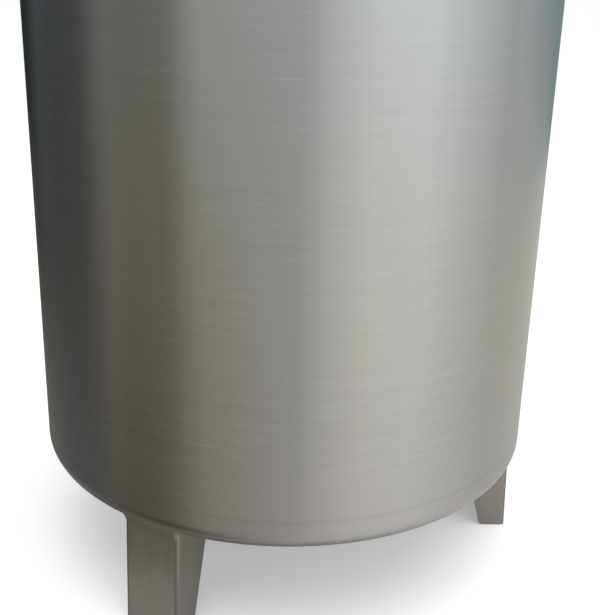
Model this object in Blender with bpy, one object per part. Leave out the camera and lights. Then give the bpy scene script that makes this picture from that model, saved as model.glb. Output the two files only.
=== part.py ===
"""Vertical storage tank of about 1000 litres in brushed stainless steel.

A rolled shell stands between two flat-coned heads on three folded channel legs. The top head carries a
hinged manway, a vent and an inlet, and the bottom head drains through an elbow and a butterfly valve.
Metres, +Z up. The origin is on the tank's axis at floor level, and one leg stands on +X.
"""

import math

import bmesh
import bpy
from mathutils import Vector

GAP = 0.0003  # air left between two pieces that touch

SHELL_RADIUS = 0.500
SHELL_HEIGHT = 1.250
SHEET = 0.003
KNUCKLE_RADIUS = 0.042
STRAIGHT_FLANGE = 0.025
BELLY_HEIGHT = 0.210  # from the floor to the level that the bottom knuckle touches
BOTTOM_SLOPE = math.radians(8)
TOP_SLOPE = math.radians(15)

LEG_TURNS = {"right": 0, "rear_left": 120, "front_left": 240}
LEG_SHEET = 0.004
LEG_HALF_WIDTH = 0.059
LEG_BEND = 0.008  # outer radius of the two folds
LEG_FACE = 0.485  # axis to the outer face of the web, at belly height
LEG_LEAN = 0.0355  # how far the web leans out for each metre that it goes down
LEG_DEPTH = 0.102  # depth of the folded sides at belly height
LEG_TAPER = 0.2206  # how much that depth shrinks for each metre down
LEG_TOP = 0.236  # blank height before the leg is coped to the head
FOOT_PLATE = 0.008

NECK_RADIUS = 0.200
NECK_RISE = 0.070
NECK_INSIDE = 0.015
FLANGE_RADIUS = 0.218
FLANGE_THICKNESS = 0.006
GASKET_THICKNESS = 0.004
LID_RADIUS = 0.222
LID_SHEET = 0.003
LID_SKIRT = 0.014
DOME_RADIUS = 0.185
DOME_RISE = 0.030
HANDLE_HALF = 0.065
HANDLE_RISE = 0.042
HANDLE_BEND = 0.018
HANDLE_ROD = 0.006
HANDLE_PLACE = -0.070  # on the latch's side of the lid, so that the hand pulls against the hinge

BRACKET_START = 0.185  # inside the neck, which cuts the bracket back to its own wall
BRACKET_DROP = 0.002  # left under the flange for the weld
SLOT_START = 0.2145
STRAP = 0.005
STRAP_START = DOME_RADIUS + 0.002
HINGE_OUT = 0.242
HINGE_HALF = 0.0265
HINGE_SLOT = 0.0205
HINGE_EAR = 0.010
HINGE_ROD = 0.005
HINGE_OVERHANG = 0.006
HINGE_DEPTH = 0.036

LATCH_OUT = 0.238
LATCH_HALF = 0.0125
LATCH_SLOT = 0.0065
LATCH_EAR = 0.011
LATCH_EYE = 0.010
LATCH_ROD = 0.004
LATCH_OVERHANG = 0.004
LATCH_DROP = 0.018  # underside of the flange to the pin
LATCH_DEPTH = 0.016
LATCH_BOLT = 0.005
LATCH_STAND = 0.018  # how far the bolt stands above its lug
LUG_PLATE_HALF = 0.018
LUG_PLATE_END = 0.014
LUG_MOUTH = 0.0065
KNOB_RADIUS = 0.021
KNOB_WAVE = 0.003
KNOB_HEIGHT = 0.026
KNOB_LOBES = 5
KNOB_LEVELS = ((0.0, 0.72), (0.006, 1.0), (0.022, 1.0), (KNOB_HEIGHT, 0.86))  # height and share of radius

TUBE_RADIUS = 0.0254
BORE_RADIUS = 0.0234
FERRULE_RADIUS = 0.032
FERRULE_EDGE = 0.003
FERRULE_LENGTH = 0.0065
SEAL_THICKNESS = 0.002
SEAL_INSET = 0.001
CLAMP_RADIUS = 0.0385
CLAMP_HALF_WIDTH = 0.0085
CLAMP_GROOVE = ((0.0325, 0.0047), (0.0285, 0.0072))  # radius and half width of the groove's two corners
CLAMP_MOUTH = math.radians(20)
CLAMP_SEGMENTS = 22
NOZZLE_CIRCLE = 0.340
NOZZLE_RISE = 0.060
NOZZLE_INSIDE = 0.020
VENT_ANGLE = math.radians(30)
INLET_ANGLE = math.radians(150)
COWL_NECK = 0.024
COWL_RADIUS = 0.046
COWL_SKIRT = 0.016
COWL_SHEET = 0.002
COWL_DOME = (0.078, 0.060)  # radius of the dome, and how far its centre lies below the brim
COWL_EDGE = 54  # degrees up to the edge of the dome

LUG_TURNS = (60, 180, 300)
LUG_CIRCLE = 0.400
LUG_HALF_WIDTH = 0.030
LUG_THICKNESS = 0.010
LUG_RISE = 0.040  # head surface to the centre of the eye
LUG_ROOT = 0.020  # blank depth before the lug is coped to the head
LUG_EYE = 0.015

ELBOW_RADIUS = 0.064
OUTLET_STUB = 0.010
OUTLET_REACH = 0.120  # tank axis to the face of the outlet ferrule
VALVE_LENGTH = 0.052
VALVE_RADIUS = 0.0375
VALVE_SHOULDER = 0.012
DISC_HALF = 0.002
BOSS_RADIUS = 0.011
BOSS_LOW = BORE_RADIUS + 0.006
BOSS_RISE = 0.050
LEVER_THICKNESS = 0.005
LEVER_HUB = 0.016
LEVER_HUB_ARC = (40, 320)
LEVER_HALF = 0.008
LEVER_END = 0.120
GRIP_START = 0.056
GRIP_END = 0.128
GRIP_HALF = 0.013
GRIP_COVER = 0.004
GRIP_PLAY = 0.0025

BIG_SEGMENTS = 72
MID_SEGMENTS = 48
TUBE_SEGMENTS = 24
BAR_SEGMENTS = 16
HANDLE_SEGMENTS = 12
KNOB_SEGMENTS = 40
SMOOTH_BELOW = math.radians(32)
OVERSHOOT = 0.05  # how far a cutter runs past what it cuts
SLIDE = 0.0005  # play of a piece that swings in a slot

FINISHES = {
    "shell_steel": ((0.42, 0.41, 0.38), 0.30, 1.0),
    "leg_steel": ((0.26, 0.24, 0.21), 0.42, 1.0),
    "fitting_steel": ((0.55, 0.55, 0.54), 0.22, 1.0),
    "gasket_rubber": ((0.55, 0.55, 0.53), 0.60, 0.0),
    "knob_plastic": ((0.02, 0.02, 0.02), 0.45, 0.0),
}


def clear_scene():
    for obj in list(bpy.data.objects):
        bpy.data.objects.remove(obj, do_unlink=True)


def skinned(rings, joined=False):
    """Mesh through rings of equally many points. It runs on from the last ring to the first, or caps both."""
    bm = bmesh.new()
    loops = [[bm.verts.new(point) for point in ring] for ring in rings]
    for near, far in zip(loops, loops[1:] + loops[:1] if joined else loops[1:]):
        for i, j in zip(range(len(near)), [*range(1, len(near)), 0]):
            bm.faces.new((near[i], near[j], far[j], far[i]))
    if not joined:
        bm.faces.new(loops[0])
        bm.faces.new(loops[-1])
    bmesh.ops.remove_doubles(bm, verts=bm.verts, dist=1e-6)
    bmesh.ops.recalc_face_normals(bm, faces=bm.faces)
    return bm


def turned(profile, segments, sweep=math.tau, start=0.0):
    """Closed (radius, height) profile turned about Z."""
    whole = sweep == math.tau
    angles = [start + sweep * i / segments for i in range(segments + (not whole))]
    rings = [[(r * math.cos(a), r * math.sin(a), z) for r, z in profile] for a in angles]
    return skinned(rings, joined=whole)


def circle(centre, direction, side, radius, segments):
    across = direction.cross(side)
    angles = [math.tau * i / segments for i in range(segments)]
    return [centre + radius * (math.cos(a) * side + math.sin(a) * across) for a in angles]


def bar(stations, side, segments):
    """Solid bar through (centre, direction, radius) stations that lie in the plane across side."""
    return skinned([circle(c, d, side, r, segments) for c, d, r in stations])


def pipe(stations, bore, side, segments):
    """The same with a bore of one radius from end to end."""
    outer = [circle(c, d, side, r, segments) for c, d, r in stations]
    inner = [circle(c, d, side, bore, segments) for c, d, r in reversed(stations)]
    return skinned(outer + inner, joined=True)


def plate(outline, low, high, along):
    """Outline drawn on the two other axes, in order, and pulled from low to high along the named one."""
    place = {
        "X": lambda u, v, w: (w, u, v),
        "Y": lambda u, v, w: (u, w, v),
        "Z": lambda u, v, w: (u, v, w),
    }[along]
    return skinned([[place(u, v, w) for u, v in outline] for w in (low, high)])


def box(x, y, z):
    (x0, x1), (y0, y1), (z0, z1) = x, y, z
    return plate([(x0, y0), (x1, y0), (x1, y1), (x0, y1)], z0, z1, "Z")


def arc(centre, radius, start, end, steps):
    """Points from one angle to another, in degrees, with both ends."""
    angles = [math.radians(start + (end - start) * i / steps) for i in range(steps + 1)]
    return [(centre[0] + radius * math.cos(a), centre[1] + radius * math.sin(a)) for a in angles]


def flats_at(radius, segments):
    """Corner radius of a polygon whose flats lie at the radius, so that it clears what is inside it."""
    return radius / math.cos(math.pi / segments)


def mesh_object(name, bm, at, turn):
    mesh = bpy.data.meshes.new(name)
    bm.to_mesh(mesh)
    bm.free()
    mesh.shade_smooth()
    mesh.set_sharp_from_angle(angle=SMOOTH_BELOW)
    obj = bpy.data.objects.new(name, mesh)
    obj.location = at
    obj.rotation_euler[2] = turn
    bpy.context.collection.objects.link(obj)
    return obj


def add(name, bm, finish, at=(0, 0, 0), turn=0.0):
    """A piece of the tank, in a material of its own."""
    obj = mesh_object(name, bm, at, turn)
    colour, roughness, metallic = FINISHES[finish]
    material = bpy.data.materials.new(f"{name}_{finish}")
    material.use_nodes = True
    shader = material.node_tree.nodes["Principled BSDF"]
    shader.inputs["Base Color"].default_value = (*colour, 1)
    shader.inputs["Roughness"].default_value = roughness
    shader.inputs["Metallic"].default_value = metallic
    obj.data.materials.append(material)
    return obj


def helper(name, bm, at=(0, 0, 0), turn=0.0):
    """A shape that only cuts or joins."""
    obj = mesh_object(name, bm, at, turn)
    obj.hide_render = True
    obj.display_type = "WIRE"
    return obj


def combine(piece, other, operation):
    modifier = piece.modifiers.new(other.name, "BOOLEAN")
    modifier.operation = operation
    modifier.solver = "EXACT"
    modifier.object = other


def cut(piece, cutter):
    combine(piece, cutter, "DIFFERENCE")


def drill(piece, start, end, radius, segments=BAR_SEGMENTS, turn=0.0):
    """A round hole from start to end, which lie on one of the piece's axes."""
    direction = (Vector(end) - Vector(start)).normalized()
    side = Vector((0, 0, 1)) if abs(direction.z) < 0.5 else Vector((1, 0, 0))
    stations = [(Vector(point), direction, radius) for point in (start, end)]
    cut(piece, helper(f"{piece.name}_drill", bar(stations, side, segments), turn=turn))


class Head:
    """A flat-coned end. It rises to its centre when up is 1, and falls to it when up is -1."""

    def __init__(self, up, flange_height, slope):
        self.up = up
        self.slope = slope
        self.weld_height = flange_height
        self.knuckle_height = flange_height + up * STRAIGHT_FLANGE

    def line(self, offset, inner_radius, steps=4):
        """Section of the outer surface moved outwards by offset, from the weld to the inner radius."""
        reach = KNUCKLE_RADIUS + offset
        centre = (SHELL_RADIUS - KNUCKLE_RADIUS, self.knuckle_height)
        crown = self.up * (90 - math.degrees(self.slope))
        bend = arc(centre, reach, 0, crown, steps)
        end = (inner_radius, self.height(inner_radius, offset))
        return [(SHELL_RADIUS + offset, self.weld_height), *bend, end]

    def height(self, radius, offset=0.0):
        """Height of the cone at a radius."""
        reach = KNUCKLE_RADIUS + offset
        crown_radius = SHELL_RADIUS - KNUCKLE_RADIUS + reach * math.sin(self.slope)
        crown_height = self.knuckle_height + self.up * reach * math.cos(self.slope)
        return crown_height + self.up * (crown_radius - radius) * math.tan(self.slope)

    def solid(self, hole_radius):
        return turned(self.line(0, hole_radius) + self.line(-SHEET, hole_radius)[::-1], BIG_SEGMENTS)

    def cutter(self):
        """All that the head's outer surface encloses, grown by the gap."""
        inside = self.weld_height - self.up * OVERSHOOT
        profile = [*self.line(GAP, 0), (0, inside), (SHELL_RADIUS + GAP, inside)]
        return turned(profile, BIG_SEGMENTS)


SHELL_LOW = BELLY_HEIGHT + KNUCKLE_RADIUS + STRAIGHT_FLANGE
BOTTOM = Head(-1, SHELL_LOW, BOTTOM_SLOPE)
TOP = Head(1, SHELL_LOW + SHELL_HEIGHT, TOP_SLOPE)
NECK_TOP = TOP.height(NECK_RADIUS) + NECK_RISE
LID_LOW = NECK_TOP + GASKET_THICKNESS + 2 * GAP
RIM_TOP = LID_LOW + LID_SHEET
LID_TOP = RIM_TOP + DOME_RISE


def ring_profile(inner, outer, low, high):
    return [(outer, low), (outer, high), (inner, high), (inner, low)]


def build_vessel():
    low, high = SHELL_LOW + GAP, SHELL_LOW + SHELL_HEIGHT - GAP
    wall = ring_profile(SHELL_RADIUS - SHEET, SHELL_RADIUS, low, high)
    add("shell", turned(wall, BIG_SEGMENTS), "shell_steel")
    add("bottom_head", BOTTOM.solid(TUBE_RADIUS + GAP), "shell_steel")
    top_head = add("top_head", TOP.solid(NECK_RADIUS + GAP), "shell_steel")
    for angle in (VENT_ANGLE, INLET_ANGLE):
        x, y = NOZZLE_CIRCLE * math.cos(angle), NOZZLE_CIRCLE * math.sin(angle)
        height = TOP.height(NOZZLE_CIRCLE)
        start, end = (x, y, height - NOZZLE_RISE), (x, y, height + NOZZLE_RISE)
        drill(top_head, start, end, TUBE_RADIUS + GAP, TUBE_SEGMENTS)


def channel_line(inset, depth):
    """One face of the folded channel as (distance inwards, sideways), inset from its outer face."""
    half, bend = LEG_HALF_WIDTH - inset, LEG_BEND - inset
    one = arc((LEG_BEND, half - bend), bend, 90, 180, 4)
    other = [(inwards, -sideways) for inwards, sideways in reversed(one)]
    return [(depth, half), *one, *other, (depth, -half)]


def web_face(height):
    return LEG_FACE + (BELLY_HEIGHT - height) * LEG_LEAN


def leg_depth(height):
    return LEG_DEPTH - (BELLY_HEIGHT - height) * LEG_TAPER


def build_legs():
    head_cutter = helper("bottom_head_cutter", BOTTOM.cutter())
    for side, degrees in LEG_TURNS.items():
        turn = math.radians(degrees)
        sections = []
        for height in (0.0, LEG_TOP):
            depth = leg_depth(height)
            face = web_face(height)
            line = channel_line(0, depth) + channel_line(LEG_SHEET, depth)[::-1]
            sections.append([(face - inwards, sideways, height) for inwards, sideways in line])
        leg = add(f"leg_{side}", skinned(sections), "leg_steel", turn=turn)
        cut(leg, head_cutter)
        line = channel_line(LEG_SHEET + 2 * GAP, leg_depth(0))
        outline = [(web_face(0) - inwards, sideways) for inwards, sideways in line]
        add(f"foot_plate_{side}", plate(outline, 0.0, FOOT_PLATE, "Z"), "leg_steel", turn=turn)


def dome_line(offset, steps=5):
    """Section of the lid's dome from the axis outwards, moved up by offset."""
    sphere = (DOME_RADIUS**2 + DOME_RISE**2) / (2 * DOME_RISE)
    edge = math.asin(DOME_RADIUS / sphere)
    angles = [edge * i / steps for i in range(steps + 1)]
    reach, centre = sphere + offset, LID_TOP - sphere
    return [(reach * math.sin(a), centre + reach * math.cos(a)) for a in angles]


def build_manway():
    wall = TOP.height(NECK_RADIUS) - NECK_INSIDE
    neck = ring_profile(NECK_RADIUS - SHEET, NECK_RADIUS, wall, NECK_TOP)
    add("manway_neck", turned(neck, BIG_SEGMENTS), "fitting_steel")
    hole = flats_at(NECK_RADIUS + GAP, MID_SEGMENTS)
    flange = ring_profile(hole, FLANGE_RADIUS, NECK_TOP - FLANGE_THICKNESS, NECK_TOP)
    add("manway_flange", turned(flange, MID_SEGMENTS), "fitting_steel")
    gasket = ring_profile(NECK_RADIUS - SHEET, FLANGE_RADIUS - SHEET, NECK_TOP + GAP, LID_LOW - GAP)
    add("manway_gasket", turned(gasket, MID_SEGMENTS), "gasket_rubber")
    brim = LID_RADIUS - LID_SHEET
    shoulder, hem = RIM_TOP - LID_SHEET, RIM_TOP - LID_SKIRT
    skirt = [(brim, RIM_TOP), (LID_RADIUS, shoulder), (LID_RADIUS, hem), (brim, hem), (brim, LID_LOW)]
    lid = dome_line(0) + skirt + dome_line(-LID_SHEET)[::-1]
    add("manway_lid", turned(lid, MID_SEGMENTS), "fitting_steel")


def build_lid_handle():
    """Bent bar, coped to the dome. Its two bends are quarter circles about centres at the same height."""
    up, side = Vector((0, 0, 1)), Vector((0, 1, 0))
    low, middle = LID_TOP - 2 * HANDLE_ROD, LID_TOP + HANDLE_RISE - HANDLE_BEND
    stations = [(Vector((-HANDLE_HALF, HANDLE_PLACE, low)), up, HANDLE_ROD)]
    for centre, first in ((HANDLE_BEND - HANDLE_HALF, 180), (HANDLE_HALF - HANDLE_BEND, 90)):
        for x, z in arc((centre, middle), HANDLE_BEND, first, first - 90, 4):
            radial = Vector((x - centre, 0, z - middle)).normalized()
            stations.append((Vector((x, HANDLE_PLACE, z)), side.cross(radial), HANDLE_ROD))
    stations.append((Vector((HANDLE_HALF, HANDLE_PLACE, low)), -up, HANDLE_ROD))
    handle = add("lid_handle", bar(stations, side, HANDLE_SEGMENTS), "fitting_steel")
    under = [(0, LID_LOW), (DOME_RADIUS, LID_LOW), *dome_line(GAP)[::-1]]
    cut(handle, helper("lid_cutter", turned(under, MID_SEGMENTS)))


def neck_cutter():
    """What the neck takes out of a bracket that is welded to it."""
    profile = ring_profile(0, NECK_RADIUS + GAP, NECK_TOP - 3 * OVERSHOOT, NECK_TOP + GAP)
    return helper("neck_cutter", turned(profile, BIG_SEGMENTS))


def rod(radius, start, end, segments=BAR_SEGMENTS):
    """Plain round bar along X, Y or Z."""
    direction = (Vector(end) - Vector(start)).normalized()
    side = Vector((0, 0, 1)) if abs(direction.z) < 0.5 else Vector((1, 0, 0))
    return bar([(Vector(start), direction, radius), (Vector(end), direction, radius)], side, segments)


def cross_rod(radius, half, out, height):
    """Round bar across the manway's middle plane."""
    return rod(radius, (-half, out, height), (half, out, height))


def cross_drill(piece, out, height, radius, turn=0.0):
    drill(piece, (-OVERSHOOT, out, height), (OVERSHOOT, out, height), radius, turn=turn)


SHELF = NECK_TOP - FLANGE_THICKNESS - BRACKET_DROP
STRAP_LOW = RIM_TOP + GAP
HINGE_HEIGHT = STRAP_LOW + STRAP / 2


def build_hinge(neck):
    """Fork on the neck, pin, and strap on the lid, behind the manway on +Y."""
    pin = (HINGE_OUT, HINGE_HEIGHT)
    foot = SHELF - HINGE_DEPTH
    root = SLOT_START + SLIDE
    outline = [(BRACKET_START, foot), (root, foot), (HINGE_OUT + HINGE_EAR, HINGE_HEIGHT - 3 * HINGE_EAR)]
    outline += [*arc(pin, HINGE_EAR, 0, 180, 8), (HINGE_OUT - HINGE_EAR, SHELF), (BRACKET_START, SHELF)]
    bracket = add("hinge_bracket", plate(outline, -HINGE_HALF, HINGE_HALF, "X"), "fitting_steel")
    cut(bracket, neck)
    beyond = (SLOT_START, HINGE_OUT + OVERSHOOT)
    slot = box((-HINGE_SLOT, HINGE_SLOT), beyond, (foot - OVERSHOOT, HINGE_HEIGHT + OVERSHOOT))
    cut(bracket, helper("hinge_slot", slot))
    cross_drill(bracket, *pin, HINGE_ROD + GAP)
    add("hinge_pin", cross_rod(HINGE_ROD, HINGE_HALF + HINGE_OVERHANG, *pin), "fitting_steel")
    lift = math.degrees(math.asin(STRAP / 2 / HINGE_EAR))
    outline = [(STRAP_START, STRAP_LOW), *arc(pin, HINGE_EAR, lift - 180, 180 - lift, 12)]
    outline.append((STRAP_START, STRAP_LOW + STRAP))
    strap_half = HINGE_SLOT - SLIDE
    strap = add("hinge_strap", plate(outline, -strap_half, strap_half, "X"), "fitting_steel")
    cross_drill(strap, *pin, HINGE_ROD + GAP)


def build_latch(neck):
    """Swing bolt with a star knob in front of the manway. It is drawn on +Y and turned round to -Y."""
    turn = math.pi
    pin = (LATCH_OUT, SHELF - LATCH_DROP)
    foot = pin[1] - LATCH_DEPTH
    root = SLOT_START - 5 * SLIDE
    outline = [(BRACKET_START, foot), (root, foot), *arc(pin, LATCH_EAR, -90, 90, 8)]
    outline += [(SLOT_START + SLIDE, SHELF), (BRACKET_START, SHELF)]
    bracket = add("latch_bracket", plate(outline, -LATCH_HALF, LATCH_HALF, "X"), "fitting_steel", turn=turn)
    cut(bracket, neck)
    beyond = (SLOT_START, LATCH_OUT + OVERSHOOT)
    slot = box((-LATCH_SLOT, LATCH_SLOT), beyond, (foot - OVERSHOOT, SHELF + OVERSHOOT))
    cut(bracket, helper("latch_slot", slot, turn=turn))
    cross_drill(bracket, *pin, LATCH_ROD + GAP, turn)
    add("latch_pin", cross_rod(LATCH_ROD, LATCH_HALF + LATCH_OVERHANG, *pin), "fitting_steel", turn=turn)
    plate_top = STRAP_LOW + STRAP
    bolt_top = plate_top + LATCH_STAND
    stem = rod(LATCH_BOLT, (0, *pin), (0, LATCH_OUT, bolt_top))
    bolt = add("latch_bolt", stem, "fitting_steel", turn=turn)
    eye_half = LATCH_SLOT - SLIDE
    eye = plate(arc(pin, LATCH_EYE, 0, 345, 23), -eye_half, eye_half, "X")
    combine(bolt, helper("latch_eye", eye, turn=turn), "UNION")
    cross_drill(bolt, *pin, LATCH_ROD + GAP, turn)
    end = LATCH_OUT + LUG_PLATE_END
    outline = [(LUG_PLATE_HALF, STRAP_START), (LUG_PLATE_HALF, end), (LUG_MOUTH, end)]
    outline += [*arc((0, LATCH_OUT), LUG_MOUTH, 0, -180, 8), (-LUG_MOUTH, end)]
    outline += [(-LUG_PLATE_HALF, end), (-LUG_PLATE_HALF, STRAP_START)]
    add("latch_lug", plate(outline, STRAP_LOW, plate_top, "Z"), "fitting_steel", turn=turn)
    build_knob(plate_top + GAP, bolt_top, turn)


def build_knob(low, bolt_top, turn):
    angles = [math.tau * i / KNOB_SEGMENTS for i in range(KNOB_SEGMENTS)]
    waves = [(a, KNOB_RADIUS + KNOB_WAVE * math.cos(KNOB_LOBES * a)) for a in angles]
    rings = []
    for level, share in KNOB_LEVELS:
        ring = [(share * r * math.cos(a), LATCH_OUT + share * r * math.sin(a)) for a, r in waves]
        rings.append([(x, y, low + level) for x, y in ring])
    knob = add("latch_knob", skinned(rings), "knob_plastic", turn=turn)
    start, end = (0, LATCH_OUT, low - OVERSHOOT), (0, LATCH_OUT, bolt_top + GAP)
    drill(knob, start, end, LATCH_BOLT + GAP, turn=turn)


def build_lifting_lugs():
    head_cutter = helper("top_head_cutter", TOP.cutter())
    eye_height = TOP.height(LUG_CIRCLE) + LUG_RISE
    low = TOP.height(LUG_CIRCLE) - LUG_ROOT
    half = LUG_THICKNESS / 2
    outline = [(LUG_CIRCLE - LUG_HALF_WIDTH, low), (LUG_CIRCLE + LUG_HALF_WIDTH, low)]
    outline += arc((LUG_CIRCLE, eye_height), LUG_HALF_WIDTH, 0, 180, 12)
    start, end = (LUG_CIRCLE, -OVERSHOOT, eye_height), (LUG_CIRCLE, OVERSHOOT, eye_height)
    for number, degrees in enumerate(LUG_TURNS, 1):
        turn = math.radians(degrees)
        lug = add(f"lifting_lug_{number}", plate(outline, -half, half, "Y"), "fitting_steel", turn=turn)
        drill(lug, start, end, LUG_EYE, turn=turn)
        cut(lug, head_cutter)


def ferrule(face, sense):
    """(height, radius) of the rim that a clamp grips. sense is 1 when the tube comes from below."""
    steps = ((FERRULE_LENGTH, TUBE_RADIUS), (FERRULE_EDGE, FERRULE_RADIUS), (0, FERRULE_RADIUS))
    return [(face - sense * back, radius) for back, radius in steps]


def clamp_ring(middle):
    """Grooved ring that holds two ferrules together, open at +X for the width of its bolt."""
    half = [*CLAMP_GROOVE, (CLAMP_GROOVE[1][0], CLAMP_HALF_WIDTH), (CLAMP_RADIUS, CLAMP_HALF_WIDTH)]
    profile = [(r, middle - z) for r, z in reversed(half)] + [(r, middle + z) for r, z in half]
    return turned(profile, CLAMP_SEGMENTS, math.tau - CLAMP_MOUTH, CLAMP_MOUTH / 2)


def build_nozzles():
    """Vent and inlet on the top head, each a tube with a ferrule, a seal, a cap and a clamp."""
    face = TOP.height(NOZZLE_CIRCLE) + NOZZLE_RISE
    low = TOP.height(NOZZLE_CIRCLE) - NOZZLE_INSIDE
    seat = face + SEAL_THICKNESS + 2 * GAP
    rim = [(r, z) for z, r in ferrule(seat, -1)[::-1]]
    lower_rim = [(r, z) for z, r in ferrule(face, 1)]
    tube = [(TUBE_RADIUS, low), *lower_rim, (BORE_RADIUS, face), (BORE_RADIUS, low)]
    seal = ring_profile(BORE_RADIUS, FERRULE_RADIUS - SEAL_INSET, face + GAP, seat - GAP)
    back = seat + FERRULE_LENGTH
    blank = [(0, seat), *rim[:2], (BORE_RADIUS, back), (0, back)]
    for name, angle, cap in (("vent", VENT_ANGLE, vent_cap(rim, seat)), ("inlet", INLET_ANGLE, blank)):
        at = (NOZZLE_CIRCLE * math.cos(angle), NOZZLE_CIRCLE * math.sin(angle), 0)
        add(f"{name}_nozzle", turned(tube, TUBE_SEGMENTS), "fitting_steel", at)
        add(f"{name}_seal", turned(seal, TUBE_SEGMENTS), "gasket_rubber", at)
        add(f"{name}_cap", turned(cap, TUBE_SEGMENTS), "fitting_steel", at)
        add(f"{name}_clamp", clamp_ring((face + seat) / 2), "fitting_steel", at, angle)


def vent_cap(rim, seat):
    """A short tube under a mushroom cowl, closed at the top."""
    brim = seat + FERRULE_LENGTH + COWL_NECK
    dome_radius, sunk = COWL_DOME
    inside, hem = COWL_RADIUS - COWL_SHEET, brim - COWL_SKIRT
    skirt = [(TUBE_RADIUS, brim), (inside, brim), (inside, hem), (COWL_RADIUS, hem)]
    dome = arc((0, brim - sunk), dome_radius, COWL_EDGE, 90, 4)
    return [*rim, *skirt, *dome, (0, brim), (BORE_RADIUS, brim), (BORE_RADIUS, seat)]


OUTLET_HEIGHT = BOTTOM.height(TUBE_RADIUS) - OUTLET_STUB - ELBOW_RADIUS
SEAT_OUT = OUTLET_REACH + SEAL_THICKNESS + 2 * GAP
VALVE_MIDDLE = SEAT_OUT + VALVE_LENGTH / 2


def build_outlet():
    """Drain under the middle of the bottom head, turned to +Y, with its seal and clamp."""
    side, down, out = Vector((1, 0, 0)), Vector((0, 0, -1)), Vector((0, 1, 0))
    bend_height = OUTLET_HEIGHT + ELBOW_RADIUS
    stations = [(Vector((0, 0, BOTTOM.height(TUBE_RADIUS, -SHEET))), down, TUBE_RADIUS)]
    for drop, reach in arc((0, 0), 1, 0, 90, 6):
        point = Vector((0, ELBOW_RADIUS * (1 - drop), bend_height - ELBOW_RADIUS * reach))
        stations.append((point, drop * down + reach * out, TUBE_RADIUS))
    for y, radius in ferrule(OUTLET_REACH, 1):
        stations.append((Vector((0, y, OUTLET_HEIGHT)), out, radius))
    add("outlet_pipe", pipe(stations, BORE_RADIUS, side, TUBE_SEGMENTS), "fitting_steel")
    axis = Vector((0, 0, OUTLET_HEIGHT))
    ends = (OUTLET_REACH + GAP, SEAT_OUT - GAP)
    stations = [(axis + out * y, out, FERRULE_RADIUS - SEAL_INSET) for y in ends]
    add("outlet_seal", pipe(stations, BORE_RADIUS, side, TUBE_SEGMENTS), "gasket_rubber")
    middle = axis + out * (OUTLET_REACH + SEAT_OUT) / 2
    clamp = add("outlet_clamp", clamp_ring(0), "fitting_steel", middle)
    clamp.rotation_euler = (math.pi / 2, 0, 0)


def build_valve():
    """Butterfly valve, shut, with its lever across the pipe on the +X side."""
    side, out = Vector((1, 0, 0)), Vector((0, 1, 0))
    axis = Vector((0, 0, OUTLET_HEIGHT))
    end = SEAT_OUT + VALVE_LENGTH
    barrel = [(SEAT_OUT + VALVE_SHOULDER, VALVE_RADIUS), (end - VALVE_SHOULDER, VALVE_RADIUS)]
    line = [*ferrule(SEAT_OUT, -1)[::-1], *barrel, *ferrule(end, 1)]
    stations = [(axis + out * y, out, radius) for y, radius in line]
    body = add("valve_body", pipe(stations, BORE_RADIUS, side, TUBE_SEGMENTS), "fitting_steel")
    boss_top = OUTLET_HEIGHT + BOSS_RISE
    boss = rod(BOSS_RADIUS, (0, VALVE_MIDDLE, OUTLET_HEIGHT + BOSS_LOW), (0, VALVE_MIDDLE, boss_top))
    combine(body, helper("valve_boss", boss), "UNION")
    ends = (VALVE_MIDDLE - DISC_HALF, VALVE_MIDDLE + DISC_HALF)
    stations = [(axis + out * y, out, BORE_RADIUS - GAP) for y in ends]
    add("valve_disc", bar(stations, side, TUBE_SEGMENTS), "fitting_steel")
    low = boss_top + GAP
    high = low + LEVER_THICKNESS
    arm = [(LEVER_END, VALVE_MIDDLE - LEVER_HALF), (LEVER_END, VALVE_MIDDLE + LEVER_HALF)]
    hub = arc((0, VALVE_MIDDLE), LEVER_HUB, *LEVER_HUB_ARC, 12)
    add("valve_lever", plate(hub + arm, low, high, "Z"), "fitting_steel")
    across = (VALVE_MIDDLE - GRIP_HALF, VALVE_MIDDLE + GRIP_HALF)
    grip = box((GRIP_START, GRIP_END), across, (low - GRIP_COVER, high + GRIP_COVER))
    sleeve = add("lever_grip", grip, "knob_plastic")
    pocket_half = LEVER_HALF + GRIP_PLAY
    across = (VALVE_MIDDLE - pocket_half, VALVE_MIDDLE + pocket_half)
    pocket = box((0, LEVER_END + GAP), across, (low - GAP, high + GAP))
    cut(sleeve, helper("grip_pocket", pocket))


def main():
    clear_scene()
    build_vessel()
    build_legs()
    build_manway()
    build_lid_handle()
    neck = neck_cutter()
    build_hinge(neck)
    build_latch(neck)
    build_lifting_lugs()
    build_nozzles()
    build_outlet()
    build_valve()


main()
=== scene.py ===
# %% [markdown]
# # A brushed steel storage tank on three legs
# This lesson dresses the plain solids of a 1000 litre tank until they look like the real thing. The solids
# come in as a frame that stays where it is, in metres, with Z up and the tank's axis on the origin. Each
# piece made below either takes the place of a solid or adds something too fine for it, such as a weld or a
# bolt.

import math

import bmesh
import bpy
from mathutils import Matrix, Vector


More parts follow.
